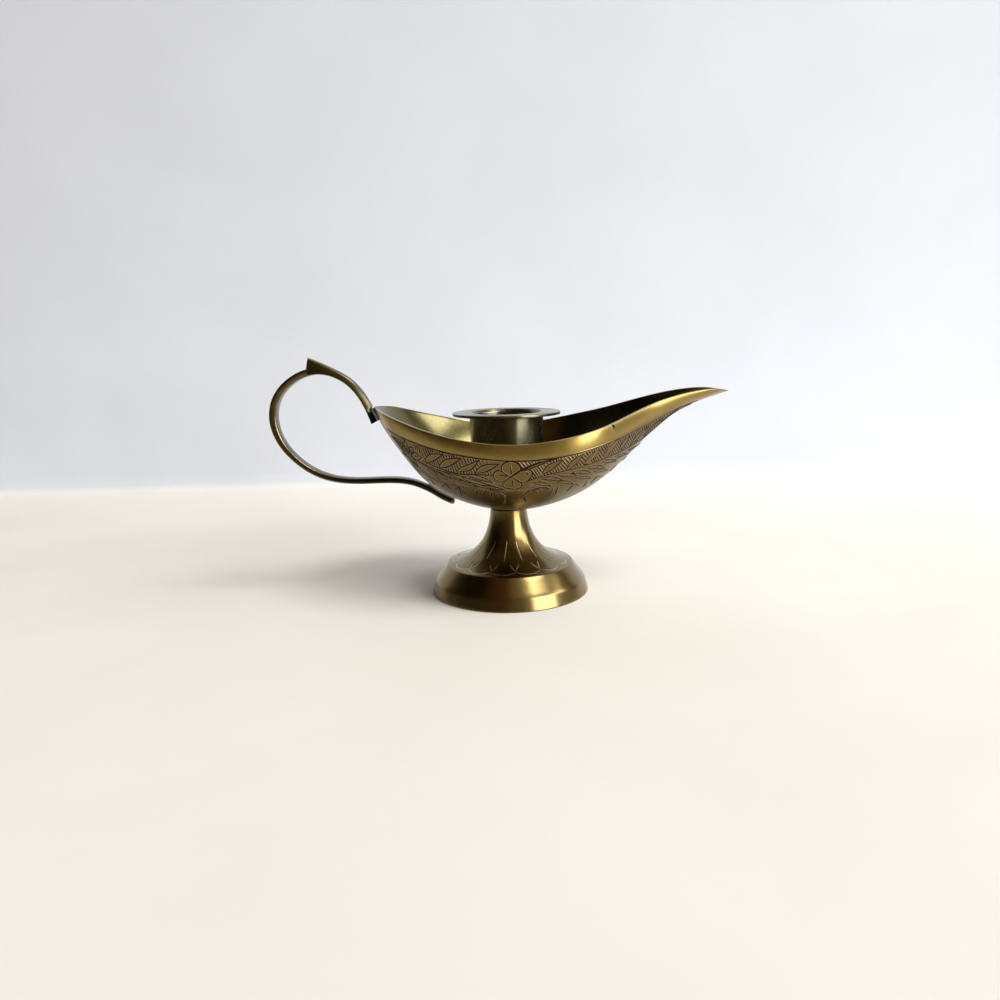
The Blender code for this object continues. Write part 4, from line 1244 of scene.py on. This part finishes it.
def solder_run(name, first, last):
    """Bed of solder between bowl and strap from one arc length of the keel's tail to another."""
    hand = random.Random(name)
    section = [(lift, -wide) for lift, wide in SOLDER_SIDE] + [(SOLDER_SIDE[-1][0], 0.0)]
    section += SOLDER_SIDE[::-1] + [(SOLDER_SIDE[0][0], 0.0)]
    rings = []
    for place in np.linspace(first, last, 26):
        half = HANDLE_WIDTH / 2 + SOLDER_OVERHANG * hand.uniform(0.55, 1.0)
        points = []
        for lift, wide in section:
            x, z = keel_side(lift * MM, [place])[0]
            points.append((x + AXIS_X, half * wide, z))
        rings.append(points)
    mesh = grid_mesh(name, np.array(rings), tin)
    close_mesh(mesh, len(section))
    return link_piece(name, mesh)


upper_solder = solder_run("solder_run_upper", 0.25 * MM, UPPER_CONTACT)
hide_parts("handle_solder_upper")
lower_solder = solder_run("solder_run_lower", lower_end - LOWER_CONTACT, lower_end)
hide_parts("handle_solder_lower")


# The fixing: one slotted cheese-head screw through cup, bowl and foot, with a washer and a
# hexagon nut under the foot's web.  Brassed steel, gone dull.
screw_low, screw_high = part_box("clamp_screw")
nut_low, nut_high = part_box("clamp_nut")
washer_low, washer_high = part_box("clamp_washer")
SCREW_RADIUS = 2.0 * MM
SLOT_HALF = 0.45 * MM
SLOT_DEPTH = 1.0 * MM
HEAD_RADIUS = screw_high.y
HEAD_HEIGHT = 2.0 * MM
THREAD_PITCH = 0.7 * MM
THREAD_DEPTH = 0.32 * MM
NUT_CHAMFER = 0.5 * MM
NUT_BORE = 2.02 * MM
BORE_CHAMFER = 0.25 * MM
steel = brass(
    "brassed steel fixing", (0.30, 0.26, 0.17), (0.17, 0.13, 0.08), 0.38, lathe=1.5,
    cloud_scale=300.0,
)


def steel_piece(name, net, ring, sharp):
    """Steel piece from a net, with its end rings of so many points capped."""
    mesh = grid_mesh(name, net, steel)
    close_mesh(mesh, ring, MERGE / 4, sharp)
    return link_piece(name, mesh)


head_under = screw_high.z - HEAD_HEIGHT
turn = np.linspace(0.0, math.tau, 73)[:-1]
up = np.arange(screw_low.z, head_under, 0.1 * MM)[:, None]
phase = (up / THREAD_PITCH - turn / math.tau) % 1.0
groove = THREAD_DEPTH * np.clip(1 - np.abs(2 * phase - 1) * 1.25, 0.0, 1.0)
taper = np.minimum(1.0, 0.72 + (up - screw_low.z) / (0.9 * MM))
steel_piece(
    "clamp_screw_shank", about_axis((SCREW_RADIUS - groove) * taper, up, turn), len(turn), 40,
)
head_line = np.array([
    (1.9 * MM, head_under), (HEAD_RADIUS - 0.15 * MM, head_under),
    (HEAD_RADIUS, head_under + 0.15 * MM), (HEAD_RADIUS, screw_high.z - 0.45 * MM),
    (HEAD_RADIUS - 0.1 * MM, screw_high.z - 0.25 * MM),
    (HEAD_RADIUS - 0.45 * MM, screw_high.z - 0.05 * MM), (HEAD_RADIUS - 0.9 * MM, screw_high.z),
    (1.4 * MM, screw_high.z), (0.7 * MM, screw_high.z),
])
screw_head = steel_piece(
    "clamp_screw_head", about_axis(head_line[:, :1], head_line[:, 1:], turn), len(turn), 40,
)
slot_tool = bpy.data.meshes.new("slot_tool")
slot_shape = bmesh.new()
bmesh.ops.create_cube(slot_shape, size=1.0)
bmesh.ops.scale(slot_shape, vec=(4 * HEAD_RADIUS, 2 * SLOT_HALF, 2 * SLOT_DEPTH), verts=slot_shape.verts)
bmesh.ops.translate(slot_shape, vec=(AXIS_X, 0.0, screw_high.z), verts=slot_shape.verts)
slot_shape.to_mesh(slot_tool)
slot_shape.free()
slot_cutter = add_object("slot_tool", slot_tool)
slotted = screw_head.modifiers.new("slot", "BOOLEAN")
slotted.operation = "DIFFERENCE"
slotted.solver = "EXACT"
slotted.object = slot_cutter
bpy.context.view_layer.update()
cut_head = bpy.data.meshes.new_from_object(
    screw_head.evaluated_get(bpy.context.evaluated_depsgraph_get())
)
screw_head.modifiers.clear()
screw_head.data = cut_head
bpy.data.objects.remove(slot_cutter, do_unlink=True)
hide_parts("clamp_screw")

turn = np.linspace(0.0, math.tau, 145)[:-1]
flat_to_flat = nut_high.x - nut_low.x
hexagon = flat_to_flat / 2 / np.cos((turn + math.pi / 6) % (math.pi / 3) - math.pi / 6)
nut_height = nut_high.z - nut_low.z
up = np.concatenate([
    np.linspace(0.0, NUT_CHAMFER, 6), np.linspace(nut_height - NUT_CHAMFER, nut_height, 6),
])[:, None]
limit = flat_to_flat / 2 * 0.985 + np.minimum(up, nut_height - up) * math.sqrt(3.0)
outside = np.minimum(np.minimum(hexagon, limit), nut_high.y)
bore_line = np.array([
    (NUT_BORE + BORE_CHAMFER, nut_high.z), (NUT_BORE, nut_high.z - BORE_CHAMFER),
    (NUT_BORE, nut_low.z + BORE_CHAMFER), (NUT_BORE + BORE_CHAMFER, nut_low.z),
])
nut_net = np.concatenate([
    about_axis(outside, nut_low.z + up, turn), about_axis(bore_line[:, :1], bore_line[:, 1:], turn),
])
nut = steel_piece("clamp_nut_hexagon", np.concatenate([nut_net, nut_net[:1]]), 0, 25)
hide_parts("clamp_nut")
washer = turned_piece(
    "clamp_washer_flat", [
        (HOLE_RADIUS, washer_high.z), (washer_high.y, washer_high.z),
        (washer_high.y, washer_low.z), (HOLE_RADIUS, washer_low.z),
    ], 0.15 * MM, 0.5 * MM, 96, steel,
)
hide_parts("clamp_washer")
